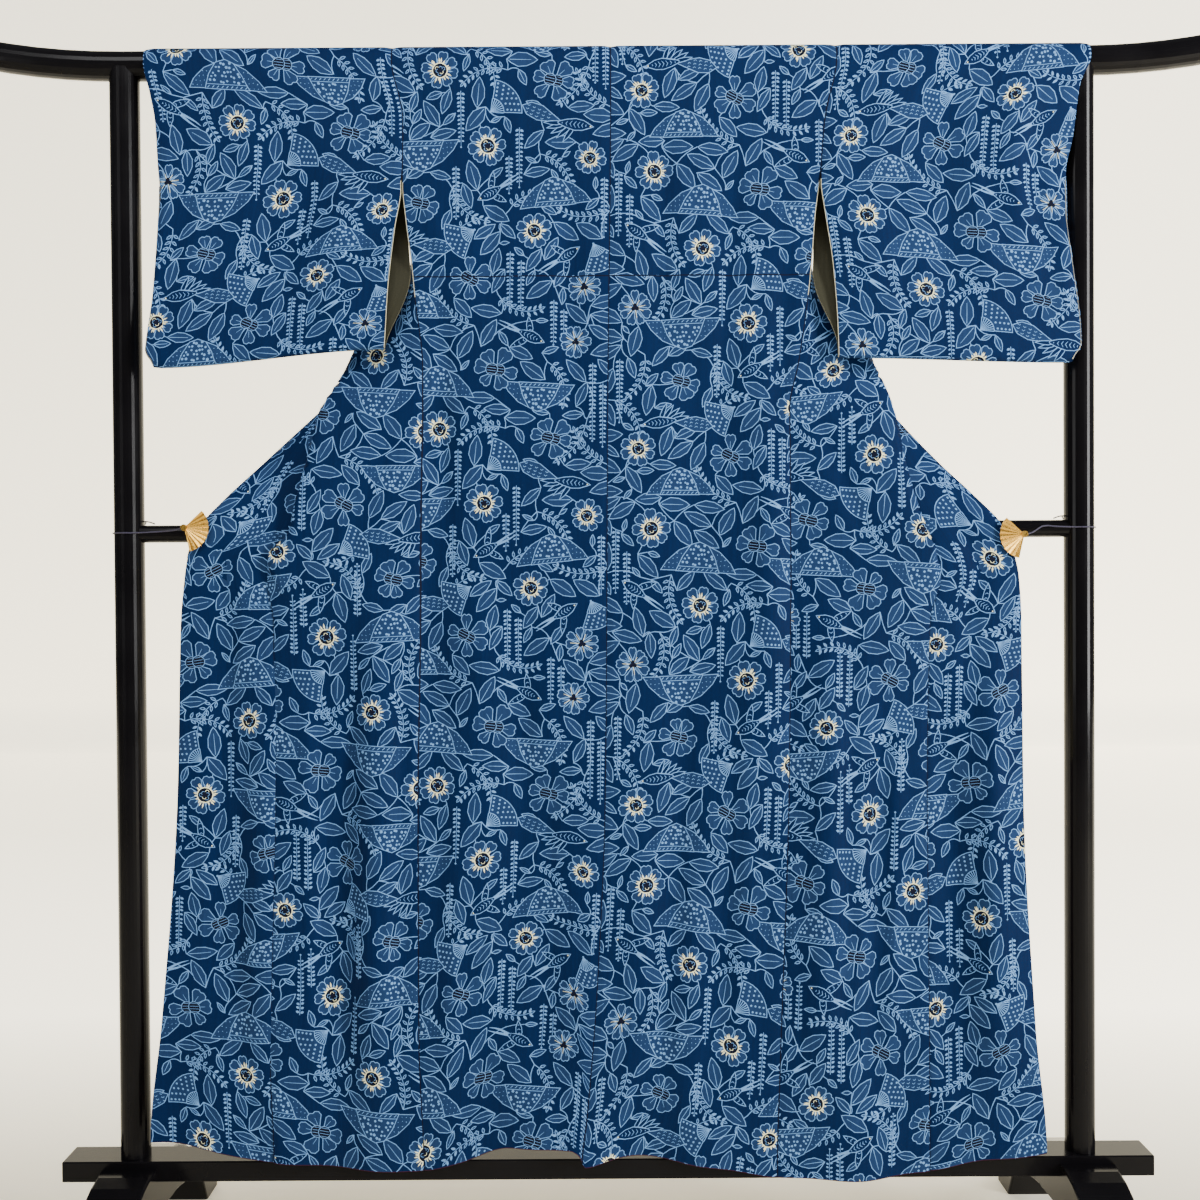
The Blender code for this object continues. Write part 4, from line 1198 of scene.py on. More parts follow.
def draw_pheasant(page, centre, length, turn):
    """A long-tailed bird: feathered body, raised wing and one broad scalloped tail."""
    tail = centre - towards(turn, length * 0.02)
    page.outlined(shape(tail, turn + 196, length * 0.6, length * 0.22, PLUME))
    for row in range(5):
        for k in range(3):
            along = towards(turn + 196, length * 0.6 * (0.3 + row * 0.13))
            spot = tail + along + towards(turn + 106, (k - 1) * length * 0.05)
            page.stroke(arc(spot, turn + 106, 0.5, 150, 2), "scallop")
    for k in range(5):
        base = centre + towards(turn, length * (0.16 - k * 0.035))
        feather = shape(base, turn + 118 + k * 14, length * 0.3, length * 0.07, LEAF)
        page.outlined(feather, "ground")
    draw_bird_body(page, centre, length, turn, *PHEASANT_BODY)


def draw_strand(page, top, length, rng):
    """A hanging strand of blossoms: a straight stem with oval buds in pairs."""
    page.stroke([top, top + Vector((0.0, length))], "rib")
    buds = int(length / BUD_STEP)
    for k in range(buds):
        size = mix(0.54, 0.36, k / buds)
        for side in (-1, 1):
            down = 0.3 + k * BUD_STEP + rng.uniform(-0.08, 0.08)
            base = top + Vector((side * 0.08, down))
            page.fill(shape(base, 90 - side * 64, size, size * 0.62, LEAFLET), "line")
    page.dot(top + Vector((0.0, length + 0.1)), 0.14)


def draw_leaflet(page, base, turn, length):
    page.fill(shape(base, turn, length, length * 0.45, LEAFLET), "line")
    if length > 0.8:
        inner = base + towards(turn, length * 0.14)
        page.fill(shape(inner, turn, length * 0.72, length * 0.26, LOZENGE), "fill")


def draw_fern(page, start, length, turn, bend):
    """A curved frond with small oval leaflets in pairs."""
    pairs = int(length / LEAFLET_STEP)
    path = arc(start, turn, length, bend, pairs)
    page.stroke(path, "frond")
    for k in range(1, pairs + 1):
        run = path[k] - path[k - 1]
        heading = math.degrees(math.atan2(run.y, run.x))
        size = 1.0 - 0.25 * k / pairs
        for side in (-1, 1):
            base = path[k] + towards(heading + side * 90, 0.09)
            draw_leaflet(page, base, heading + side * 52, 0.98 * size)
    draw_leaflet(page, path[-1], turn + bend, 0.9)


def wrapped(centre):
    return [centre + Vector((0.0, shift)) for shift in (-REPEAT_LENGTH, 0.0, REPEAT_LENGTH)]


def clearance(places, spots):
    """How far each place is from the nearest covered spot, round the repeat's ends."""
    spots = np.array(spots)
    across = places[:, None, 0] - spots[None, :, 0]
    along = np.abs(places[:, None, 1] - spots[None, :, 1]) % REPEAT_LENGTH
    along = np.minimum(along, REPEAT_LENGTH - along)
    return (np.hypot(across, along) - spots[None, :, 2]).min(axis=1)


def find_room(centre, spots, rng):
    """The longest leaf that fits at a place, as (half length, turn), or nothing."""
    turns = [k * 15 + rng.uniform(-6, 6) for k in range(12)]
    for reach in LEAF_REACHES:
        ends = [tuple(centre + towards(t, s * reach)) for t in turns for s in (-1, -0.5, 0.5, 1)]
        room = clearance(np.array(ends), spots).reshape(-1, 4)
        fits = np.minimum(room[:, 0], room[:, 3]) > TIP_ROOM
        fits &= np.minimum(room[:, 1], room[:, 2]) > reach * SIDE_ROOM
        if fits.any():
            return reach, turns[int(np.argmax(np.where(fits, room.sum(axis=1), -np.inf)))]
    return None


def grow_leaves(page, rng):
    """Fills what is free with leaves, largest first."""
    across = np.arange(0, REPEAT_WIDTH, LEAF_PLACES)
    u, v = np.meshgrid(across, np.arange(0, REPEAT_LENGTH, LEAF_PLACES))
    places = np.stack([u.ravel(), v.ravel()], axis=1)
    free = clearance(places, page.spots)
    leaves = []
    while free.max() > LEAST_CLEARANCE:
        best = int(np.argmax(free))
        centre = Vector(places[best])
        room = find_room(centre, page.spots, rng)
        if room is None:
            free[best] = 0.0
            continue
        reach, turn = room
        turn += rng.choice((0, 180))
        length = min(reach * 2.05, LONGEST_LEAF)
        width = min(length * LEAF_WIDTH * rng.uniform(0.9, 1.1), 2 * free[best] + 0.35)
        leaves.append((centre - towards(turn, length / 2), turn, length, width))
        before = len(page.spots)
        for share, size in ((-0.3, 0.32), (0.0, 0.46), (0.3, 0.3)):
            page.take(centre + towards(turn, length * share), width * size + 0.26)
        free = np.minimum(free, clearance(places, page.spots[before:]))
    return leaves


def cover_motifs(page):
    """Marks where the motifs lie, before any leaf is placed."""
    for u, v, radius, _ in FLOWERS.rows:
        page.take(Vector((u, v)), radius + FLOWER_MARGIN)
    for table, covers in COVERS:
        for u, v, size, turn in table.rows:
            for share, radius in covers:
                page.take(Vector((u, v)) + towards(turn, size * share), size * radius)
    for u, v, *_ in FANS.rows:
        page.take(Vector((u, v)), PIVOT_COVER)
    for u, v, length in STRANDS.rows:
        path = [Vector((u, v + k)) for k in np.arange(0, length, 0.5)]
        page.take_path(path, STRAND_COVER)
    for u, v, length, turn, bend in FERNS.rows:
        page.take_path(arc(Vector((u, v)), turn, length, bend, 10), FERN_COVER)


def draw_stems(page, leaves, rng):
    """A bowed stem from each leaf to the nearest flower, fern or earlier leaf."""
    nodes = [Vector(row[:2]) for row in FLOWERS.rows + FERNS.rows]
    for base, *_ in leaves:
        near = min(nodes, key=lambda node: (node - base).length)
        run = near - base
        if run.length > LEAST_STEM:
            bow = Vector((-run.y, run.x)) * rng.uniform(-STEM_BOW, STEM_BOW)
            path = [base + run * t + bow * 4 * t * (1 - t) for t in (0, 0.25, 0.5, 0.75, 1)]
            for shift in wrapped(Vector((0.0, 0.0))):
                page.stroke([point + shift for point in path], "stem")
        nodes.append(base)


def draw_at_all(page, table, draw, seed=None):
    """Draws a motif at each row of its table, also where it reaches over the repeat's ends."""
    for u, v, *rest in table.rows:
        for spot in wrapped(Vector((u, v))):
            chance = [] if seed is None else [random.Random(seed)]
            draw(page, spot, *rest, *chance)


def draw_print():
    """Lays out one repeat and returns its drawing, stems first and flowers last."""
    rng = random.Random(PRINT_SEED)
    page = Drawing()
    cover_motifs(page)
    leaves = grow_leaves(page, rng)
    draw_stems(page, leaves, rng)
    for base, *size in leaves:
        for spot in wrapped(base):
            draw_leaf(page, spot, *size)
    draw_at_all(page, FERNS, draw_fern)
    draw_at_all(page, STRANDS, draw_strand, 3)
    draw_at_all(page, HATS, draw_hat, 5)
    draw_at_all(page, FANS, draw_fan, 7)
    draw_at_all(page, SWALLOWS, draw_swallow)
    draw_at_all(page, PHEASANTS, draw_pheasant)
    for number, (u, v, *rest) in enumerate(FLOWERS.rows):
        for spot in wrapped(Vector((u, v))):
            draw_flower(page, spot, *rest, random.Random(number))
    page.drop_hidden()
    return page


def outline_inks(spots, triangles, inks, on_border):
    """For each corner on a line between two inks, the corners it joins, straight runs merged."""
    sides = {}
    for triangle, ink in zip(triangles, inks):
        for k in range(3):
            pair = tuple(sorted((triangle[k], triangle[k - 1])))
            sides.setdefault(pair, []).append(ink)
    joined = {}
    for (a, b), found in sides.items():
        if len(found) == 1 or found[0] != found[1]:
            joined.setdefault(a, set()).add(b)
            joined.setdefault(b, set()).add(a)
    for vertex in list(joined):
        if len(joined[vertex]) != 2 or on_border(spots[vertex]):
            continue
        a, b = joined[vertex]
        run = spots[b] - spots[a]
        off = abs(run.cross(spots[vertex] - spots[a])) / max(run.length, 1e-9)
        if off < STRAIGHT and b not in joined[a]:
            for end, other in ((a, b), (b, a)):
                joined[end].discard(vertex)
                joined[end].add(other)
            del joined[vertex]
    return joined


def find_holders(triangles, places):
    """For each place, the number of the triangle that it lies in."""
    a, b, c = (triangles[None, :, k] for k in range(3))
    spots = places[:, None]

    def side(start, end):
        run, off = end - start, spots - start
        return run[..., 0] * off[..., 1] - run[..., 1] * off[..., 0]

    sides = np.stack([side(a, b), side(b, c), side(c, a)])
    return np.argmax(sides.min(axis=0), axis=1)


class Repeat:
    """One repeat of the print cut into triangles of one ink each, in centimetres."""

    def __init__(self, page):
        self.points, self.faces, self.inks = [], [], []
        self.boxes = page.boxes()
        for i in range(BLOCKS_ACROSS):
            for j in range(BLOCKS_ALONG):
                self.cut_block(page, i, j)
        self.weld()

    def weld(self):
        """Joins the blocks, and notes which points of both ends lie on each other."""
        mesh = bpy.data.meshes.new("repeat")
        mesh.from_pydata([(u, v, 0.0) for u, v in self.points], [], self.faces)
        mesh.polygons.foreach_set("material_index", self.inks)
        bm = bmesh.new()
        bm.from_mesh(mesh)
        bpy.data.meshes.remove(mesh)
        loose = [vert for vert in bm.verts if not vert.link_faces]
        bmesh.ops.delete(bm, geom=loose, context="VERTS")
        bmesh.ops.remove_doubles(bm, verts=bm.verts[:], dist=WELD)
        self.points = np.array([vert.co[:2] for vert in bm.verts], float)
        self.faces = np.array([[vert.index for vert in face.verts] for face in bm.faces])
        self.inks = np.array([face.material_index for face in bm.faces])
        bm.free()
        low = np.flatnonzero(self.points[:, 1] < WELD)
        high = np.flatnonzero(self.points[:, 1] > REPEAT_LENGTH - WELD)
        self.low = low[np.argsort(self.points[low, 0])]
        self.high = high[np.argsort(self.points[high, 0])]

    def cut_block(self, page, i, j):
        """Adds one block: its shapes' outlines thinned out and cut into triangles again."""
        wide, long = REPEAT_WIDTH / BLOCKS_ACROSS, REPEAT_LENGTH / BLOCKS_ALONG
        u0, u1, v0, v1 = i * wide, (i + 1) * wide, j * long, (j + 1) * long
        spots, kept, inks = self.cut_shapes(page, u0, u1, v0, v1)

        def on_border(spot):
            return min(spot.x - u0, u1 - spot.x, spot.y - v0, v1 - spot.y) < WELD

        joined = outline_inks(spots, kept, inks, on_border)
        number = {vertex: k for k, vertex in enumerate(joined)}
        points = [spots[vertex] for vertex in joined]
        edges = [(number[a], number[b]) for a in joined for b in joined[a] if a < b]
        for a, b in edges:
            run = points[b] - points[a]
            pieces = math.ceil(run.length / LONGEST)
            points += [points[a] + run * (k / pieces) for k in range(1, pieces)]
        for u in GROUND_SHARES:
            for v in GROUND_SHARES:
                points.append(Vector((mix(u0, u1, u), mix(v0, v1, v))))
        cut = geometry.delaunay_2d_cdt(points, edges, [], 1, 1e-5, True)
        corners = np.array([tuple(spot) for spot in spots])
        found = np.array([tuple(spot) for spot in cut[0]])
        triangles = np.array(cut[2])
        holder = find_holders(corners[np.array(kept)], found[triangles].mean(axis=1))
        first = len(self.points)
        self.points.extend(found.tolist())
        self.faces.extend((triangles + first).tolist())
        self.inks.extend(inks[k] for k in holder)

    def cut_shapes(self, page, u0, u1, v0, v1):
        """Triangles of all the shapes in a block, each with the ink of its uppermost shape."""
        points = [Vector(corner) for corner in ((u0, v0), (u1, v0), (u1, v1), (u0, v1))]
        faces, inks = [], []
        low_u, high_u, low_v, high_v = self.boxes.T
        near = (high_u >= u0) & (low_u <= u1) & (high_v >= v0) & (low_v <= v1)
        for number in np.flatnonzero(near):
            outline, ink = page.shapes[number]
            faces.append(list(range(len(points), len(points) + len(outline))))
            points.extend(outline)
            inks.append(ink)
        border = [(0, 1), (1, 2), (2, 3), (3, 0)]
        cut = geometry.delaunay_2d_cdt(points, border, faces, 0, 1e-5, True)
        spots, kept, kept_inks = cut[0], [], []
        for triangle, cover in zip(cut[2], cut[5]):
            middle = sum((spots[k] for k in triangle), Vector((0.0, 0.0))) / 3
            if u0 < middle.x < u1 and v0 < middle.y < v1:
                kept.append(triangle)
                kept_inks.append(inks[max(cover)] if cover else 0)
        return spots, kept, kept_inks

    def lay(self, start, end, layout):
        """Copies of the repeat along a panel, as (away, along) in metres."""
        u_sign, u_shift, v_sign, v_shift = layout
        ends = sorted((v_sign * start * 100 + v_shift, v_sign * end * 100 + v_shift))
        copies = range(math.floor(ends[0] / REPEAT_LENGTH), math.floor(ends[1] / REPEAT_LENGTH) + 1)
        points = np.concatenate([self.points + (0, REPEAT_LENGTH * k) for k in copies])
        faces = []
        for n in range(len(copies)):
            number = np.arange(len(self.points)) + len(self.points) * n
            if n > 0:
                number[self.low] = self.high + len(self.points) * (n - 1)
            faces.append(number[self.faces])
        faces = np.concatenate(faces)
        away = (points[:, 0] - u_shift) * u_sign / 100
        along = (points[:, 1] - v_shift) * v_sign / 100
        inks = np.tile(self.inks, len(copies))
        reach = along[faces]
        wanted = (reach.max(axis=1) > start - LAY_MARGIN) & (reach.min(axis=1) < end + LAY_MARGIN)
        return away, along, faces[wanted], inks[wanted]


class BodyCloth:
    """Back and front of one body panel as one length, from the back hem to the front hem."""

    def __init__(self, side):
        self.back, self.front = back_patch(side), front_patch(side)
        self.close_side_seam()
        self.neck = NECK_HALF_WIDTH / OUTLINE[side].at("side", FOLD_DROP)
        self.join = FOLD_DROP + FAR_SHIFT
        self.flap_end = NECK_DROP + FAR_SHIFT
        self.start, self.end = -HEM_DROP, HEM_DROP + FAR_SHIFT
        self.full = float(self.back.width_at(self.join))

    def close_side_seam(self):
        """Brings the back's and the front's side edges together below the armhole."""
        count = len(self.front.along)
        for row in np.flatnonzero(self.front.along > SIDE_SEAM_DROP):
            near, far = self.back.points[count - 1 - row], self.front.points[row]
            near[-1] = far[0] = (far[0] + near[-1]) / 2
        self.back.settle()
        self.front.settle()

    def share_at(self, away, along):
        share = self.back.share_at(away, along)
        behind = along > self.join
        from_side = self.front.share_at(self.full - away[behind], along[behind] - FAR_SHIFT)
        share[behind] = 1 - (1 - self.neck) * from_side
        return share

    def sample(self, shares, along):
        found = list(self.back.sample(shares, along))
        behind = (along > self.join + TINY) & (shares > self.neck - TINY)
        from_side = np.clip((1 - shares[behind]) / (1 - self.neck), 0, 1)
        points, normals, away = self.front.sample(from_side, along[behind] - FAR_SHIFT)
        found[0][behind], found[1][behind] = points, normals
        found[2][behind] = self.full - away
        return found

    def outside(self, away, along):
        return (away < self.neck * self.full) & (along > self.flap_end)

    def inner(self, away, along):
        """How deep the lining lies: deeper in the tight fold that the front makes."""
        drop = along - FAR_SHIFT
        share = (1 - away / self.full) / (1 - self.neck)
        tight = (drop > TIGHT_DROPS[0]) & (drop < TIGHT_DROPS[1])
        tight &= (share > TIGHT_SHARES[0]) & (share < TIGHT_SHARES[1])
        return np.where(tight, FOLD_INNER, INNER)

    def cuts(self):
        folds = np.linspace(-FOLD_DROP, self.join, FOLD_STEPS + 1)
        tuck = (-TUCK_DROP - EDGE_STRIP, -TUCK_DROP + EDGE_STRIP)
        lines = [(1, value) for value in (*folds, *tuck, self.flap_end)]
        okumi_seam = self.neck * self.full
        return lines + [(0, okumi_seam), (0, okumi_seam + 2 * EDGE_STRIP)]

    def area(self):
        back = np.trapz(self.back.widths, self.back.along)
        return back + np.trapz(self.front.widths, self.front.along)


class PlainCloth:
    """A panel made of a single patch."""

    def __init__(self, patch, folds=()):
        self.patch = patch
        self.folds = folds
        self.start, self.end = patch.along[0], patch.along[-1]
        self.full = float(patch.widths.max())
        self.share_at, self.sample = patch.share_at, patch.sample

    def outside(self, away, along):
        return np.zeros(len(away), dtype=bool)

    def inner(self, away, along):
        return np.full(len(away), INNER)

    def cuts(self):
        return [(1, value) for value in self.folds]

    def area(self):
        return np.trapz(self.patch.widths, self.patch.along)


# Points this close to a cut count as on it, in metres
SNAP = 1e-9
# Width of the strip along an edge that shows a seam's painted shadow line or the lining's turned
# edge
EDGE_STRIP = 0.0009
# Steps of the lining's grid, across and along the panel
LINING_ACROSS = 0.008
LINING_ALONG = 0.028


def split(flat, faces, inks, axis, value):
    """Cuts the triangles along the line where one coordinate has a value."""
    flat[np.abs(flat[:, axis] - value) < SNAP, axis] = value
    side = np.sign(flat[:, axis] - value).astype(int)
    sides = side[faces]
    crossed = (sides.min(axis=1) < 0) & (sides.max(axis=1) > 0)
    sides, cut, cut_inks = sides[crossed], faces[crossed], inks[crossed]
    on_line = (sides == 0).any(axis=1)
    odd = -np.sign(sides.sum(axis=1))[:, None]
    first = np.where(on_line, np.argmax(sides == 0, axis=1), np.argmax(sides == odd, axis=1))
    order = (first[:, None] + np.arange(3)) % 3
    a, b, c = np.take_along_axis(cut, order, axis=1).T
    one, two = on_line, ~on_line
    pairs = [np.stack(pair, 1) for pair in ((b[one], c[one]), (a[two], b[two]), (a[two], c[two]))]
    pairs = np.sort(np.concatenate(pairs), axis=1)
    pairs, number = np.unique(pairs, axis=0, return_inverse=True)
    number = number.ravel() + len(flat)
    start, end = flat[pairs[:, 0]], flat[pairs[:, 1]]
    share = (value - start[:, axis]) / (end[:, axis] - start[:, axis])
    added = start + (end - start) * share[:, None]
    added[:, axis] = value
    ones, twos = one.sum(), two.sum()
    m, n, o = number[:ones], number[ones:ones + twos], number[ones + twos:]
    pieces = [
        faces[~crossed],
        np.stack([a[one], b[one], m], 1),
        np.stack([a[one], m, c[one]], 1),
        np.stack([a[two], n, o], 1),
        np.stack([n, b[two], c[two]], 1),
        np.stack([n, c[two], o], 1),
    ]
    of_one, of_two = cut_inks[one], cut_inks[two]
    inks = np.concatenate([inks[~crossed], of_one, of_one, of_two, of_two, of_two])
    return np.concatenate([flat, added]), np.concatenate(pieces), inks


def cut_cloth(cloth, repeat, layout):
    """The printed panel laid flat, as points (share x full width, along), faces and inks."""
    away, along, faces, inks = repeat.lay(cloth.start, cloth.end, layout)
    share = cloth.share_at(away, np.clip(along, cloth.start, cloth.end))
    inside = (share[faces].max(axis=1) > -0.01) & (share[faces].min(axis=1) < 1.01)
    faces, inks = faces[inside], inks[inside]
    flat = np.stack([share * cloth.full, along], axis=1)
    lines = [(0, 0.0), (0, cloth.full), (1, cloth.start), (1, cloth.end)]
    lines += [(0, EDGE_STRIP), (0, cloth.full - EDGE_STRIP)]
    lines += [(1, cloth.start + EDGE_STRIP), (1, cloth.end - EDGE_STRIP)] + cloth.cuts()
    for axis, value in lines:
        flat, faces, inks = split(flat, faces, inks, axis, value)
    middle = flat[faces].mean(axis=1)
    kept = (middle[:, 0] > 0) & (middle[:, 0] < cloth.full)
    kept &= (middle[:, 1] > cloth.start) & (middle[:, 1] < cloth.end)
    kept &= ~cloth.outside(middle[:, 0], middle[:, 1])
    faces, inks = faces[kept], inks[kept]
    used, faces = np.unique(faces, return_inverse=True)
    faces = faces.reshape(-1, 3)
    flat = flat[used]
    if layout[0] * layout[2] < 0:
        faces = faces[:, ::-1]
    return flat, faces, inks


def find_border(faces):
    """The edges that only one face has, in that face's own direction."""
    edges = np.concatenate([faces[:, [0, 1]], faces[:, [1, 2]], faces[:, [2, 0]]])
    _, first, counts = np.unique(
        np.sort(edges, axis=1), axis=0, return_index=True, return_counts=True
    )
    return edges[first[counts == 1]]


def lining_rows(cloth):
    """Rows of the lining's grid, with one on the hem lining's upper edge at each end."""
    first = HEM_LINING_REACH % LINING_ALONG
    rows = np.arange(first, (cloth.end - cloth.start) / 2, LINING_ALONG)
    return np.concatenate([cloth.start + rows, cloth.end - rows])


def line_cloth(flat, border, cloth):
    """The lining's flat triangles: the panel's own border and a coarse grid inside it."""
    used, edges = np.unique(border, return_inverse=True)
    edges = edges.reshape(-1, 2)
    points = [Vector(spot) for spot in flat[used]]
    along, away = np.meshgrid(
        lining_rows(cloth),
        np.arange(LINING_ACROSS / 2, cloth.full - LINING_ACROSS / 4, LINING_ACROSS),
        indexing="ij",
    )
    along, away = along.ravel(), away.ravel()
    inside = ~cloth.outside(away, along)
    points += [Vector(spot) for spot in zip(away[inside], along[inside])]
    cut = geometry.delaunay_2d_cdt(points, edges.tolist(), [], 1, 1e-7, True)
    spots = np.array([tuple(spot) for spot in cut[0]])
    corner = np.zeros(len(flat), dtype=int)
    for number, given in enumerate(cut[3]):
        for k in given:
            if k < len(used):
                corner[used[k]] = number
                spots[number] = flat[used[k]]
    triangles = np.array(cut[2])
    middle = spots[triangles].mean(axis=1)
    return corner, spots, triangles[~cloth.outside(middle[:, 0], middle[:, 1])]


def make_shell(cloth, layout, repeat, lining_slot, rim_slot):
    """One closed shell, printed outside, rim and lining, as points, normals, map places,
    faces and their materials. Where rim_slot gives a material other than 0, the printed side
    has it too: a painted shadow line along a seam, or the lining's turned edge."""
    flat, outer, outer_slots = cut_cloth(cloth, repeat, layout)
    outer_middle = flat[outer].mean(axis=1)
    special = rim_slot(outer_middle[:, 0], outer_middle[:, 1])
    outer_slots = np.where(special > 0, special, outer_slots)
    border = find_border(outer)
    corner, lining_flat, lining = line_cloth(flat, border, cloth)
    both = np.concatenate([flat, lining_flat])
    shares = np.clip(both[:, 0] / cloth.full, 0, 1)
    spots, outwards, away = cloth.sample(shares, both[:, 1])
    side = np.ones(len(both))
    side[len(flat):] = -1
    lifts = np.where(side > 0, OUTER, cloth.inner(both[:, 0], both[:, 1]))
    a, b = border.T
    low_a, low_b = corner[a] + len(flat), corner[b] + len(flat)
    rim = np.concatenate([np.stack([b, a, low_a], 1), np.stack([b, low_a, low_b], 1)])
    rim_middle = both[border].mean(axis=1)
    rim_slots = np.tile(rim_slot(rim_middle[:, 0], rim_middle[:, 1]), 2)
    whole = (rim[:, 1] != rim[:, 2]) & (rim[:, 0] != rim[:, 2])
    inner = lining[:, ::-1] + len(flat)
    inner_middle = both[inner].mean(axis=1)
    faces = np.concatenate([outer, inner, rim[whole]])
    slots = np.concatenate([outer_slots, lining_slot(inner_middle[:, 1]), rim_slots[whole]])
    first, second, third = (spots[outer[:, k]] for k in range(3))
    turn = np.cross(second - first, third - first) * outwards[outer[:, 0]]
    if turn.sum() < 0:
        faces = faces[:, ::-1]
    points, normals = spots + outwards * lifts[:, None], outwards * side[:, None]
    return points, normals, np.stack([away, both[:, 1]], axis=1), faces, slots


def add_object(name, data):
    added = bpy.data.objects.new(name, data)
    bpy.context.scene.collection.objects.link(added)
    return added


def make_cloth(name, shells, inks):
    """One mesh of all the shells, with the map that the weave lies on."""
    points, normals, places, faces, slots = (list(rows) for rows in zip(*shells))
    firsts = np.cumsum([0] + [len(spots) for spots in points])
    faces = np.concatenate([corners + first for corners, first in zip(faces, firsts)])
    points, normals, places = (np.concatenate(rows) for rows in (points, normals, places))
    mesh = bpy.data.meshes.new(name)
    mesh.from_pydata(points, [], faces)
    mesh.polygons.foreach_set("material_index", np.concatenate(slots).astype(np.int32))
    mesh.polygons.foreach_set("use_smooth", np.ones(len(faces), dtype=bool))
    cloth_map = mesh.uv_layers.new(name="Cloth")
    cloth_map.data.foreach_set("uv", places[faces].astype(np.float32).ravel())
    mesh.normals_split_custom_set_from_vertices(normals.astype(np.float32))
    for ink in inks:
        mesh.materials.append(ink)
    return add_object(name, mesh)


def srgb(red, green, blue):
    """A colour given as on screen, 0 to 255, in linear light."""
    values = []
    for part in (red / 255, green / 255, blue / 255):
        values.append(part / 12.92 if part <= 0.04045 else ((part + 0.055) / 1.055) ** 2.4)
    return (*values, 1.0)


class Finish:
    """A material built node by node around one Principled shader."""

    def __init__(self, name):
        self.material = bpy.data.materials.new(name)
        self.material.use_nodes = True
        self.tree = self.material.node_tree
        self.shader = self.tree.nodes["Principled BSDF"]

    def node(self, kind, inputs=None, **settings):
        made = self.tree.nodes.new(kind)
        for key, value in settings.items():
            setattr(made, key, value)
        for key, value in (inputs or {}).items():
            if isinstance(value, bpy.types.NodeSocket):
                self.tree.links.new(value, made.inputs[key])
            else:
                made.inputs[key].default_value = value
        return made

    def set(self, **inputs):
        for key, value in inputs.items():
            socket = self.shader.inputs[key.replace("_", " ")]
            if isinstance(value, bpy.types.NodeSocket):
                self.tree.links.new(value, socket)
            else:
                socket.default_value = value

    def place(self):
        """Where a point lies on its own object."""
        return self.node("ShaderNodeTexCoord").outputs["Object"]

    def noise(self, place, scale, detail=2.0, stretch=(1.0, 1.0, 1.0)):
        mapped = self.node("ShaderNodeMapping", {"Vector": place, "Scale": stretch})
        noise = self.node(
            "ShaderNodeTexNoise",
            {"Vector": mapped.outputs["Vector"], "Scale": scale, "Detail": detail},
        )
        return noise.outputs["Fac"]

    def ranged(self, value, low, high, start=0.3, end=0.7):
        spread = self.node(
            "ShaderNodeMapRange",
            {"Value": value, "From Min": start, "From Max": end, "To Min": low, "To Max": high},
        )
        return spread.outputs["Result"]

    def times(self, a, b):
        return self.node("ShaderNodeMath", {0: a, 1: b}, operation="MULTIPLY").outputs[0]

    def shade(self, colour, factor):
        """The colour made lighter or darker by a factor that varies over the surface."""
        inputs = {0: colour[:3], "Scale": factor}
        return self.node("ShaderNodeVectorMath", inputs, operation="SCALE").outputs["Vector"]

    def bump(self, height, distance, strength):
        inputs = {"Height": height, "Distance": distance, "Strength": strength}
        return self.node("ShaderNodeBump", inputs).outputs["Normal"]


# How finely the silk's crinkles, warp lines and soft clouds lie, as noise scales by the metre
CREPE_GRAIN = 620.0
WARP_LINES = 260.0
SILK_CLOUDS = 9.0


def make_silk(name, colour):
    """Crepe silk: crinkled grain, thin uneven warp lines and a soft sheen."""
    finish = Finish(name)
    place = finish.node("ShaderNodeUVMap", uv_map="Cloth").outputs["UV"]
    grain = finish.noise(place, CREPE_GRAIN, 3.0, (1.0, 0.6, 1.0))
    warp = finish.noise(place, WARP_LINES, 2.0, (1.0, 0.03, 1.0))
    cloud = finish.noise(place, SILK_CLOUDS, 3.0)
    tint = finish.times(finish.ranged(warp, 0.91, 1.09), finish.ranged(cloud, 0.94, 1.06))
    tint = finish.times(tint, finish.ranged(grain, 0.88, 1.12))
    finish.set(
        Base_Color=finish.shade(colour, tint),
        Roughness=finish.ranged(grain, 0.62, 0.78),
        Normal=finish.bump(grain, 0.00022, 0.8),
        Sheen_Weight=0.012,
        Sheen_Roughness=0.45,
        Specular_IOR_Level=0.07,
    )
    return finish.material


def make_lacquer():
    """Black gloss lacquer over wood, with the faint waviness of a sprayed coat."""
    finish = Finish("black_lacquer")
    place = finish.place()
    coat = finish.noise(place, 90.0, 2.0)
    haze = finish.noise(place, 14.0, 4.0)
    finish.set(
        Base_Color=finish.shade(srgb(12, 11, 13), finish.ranged(haze, 0.85, 1.15)),
        Roughness=finish.ranged(haze, 0.14, 0.24),
        Normal=finish.bump(coat, 0.00006, 0.5),
        Coat_Weight=0.03,
        Coat_Roughness=0.06,
        Specular_IOR_Level=0.1,
    )
    return finish.material


def make_gold():
    finish = Finish("gold_metal")
    place = finish.place()
    brushed = finish.noise(place, 900.0, 2.0, (1.0, 1.0, 0.25))
    cloud = finish.noise(place, 120.0, 3.0)
    finish.set(
        Base_Color=finish.shade(srgb(226, 178, 84), finish.ranged(cloud, 0.9, 1.08)),
        Metallic=1.0,
        Roughness=finish.ranged(brushed, 0.2, 0.36),
        Normal=finish.bump(brushed, 0.00004, 0.6),
    )
    return finish.material


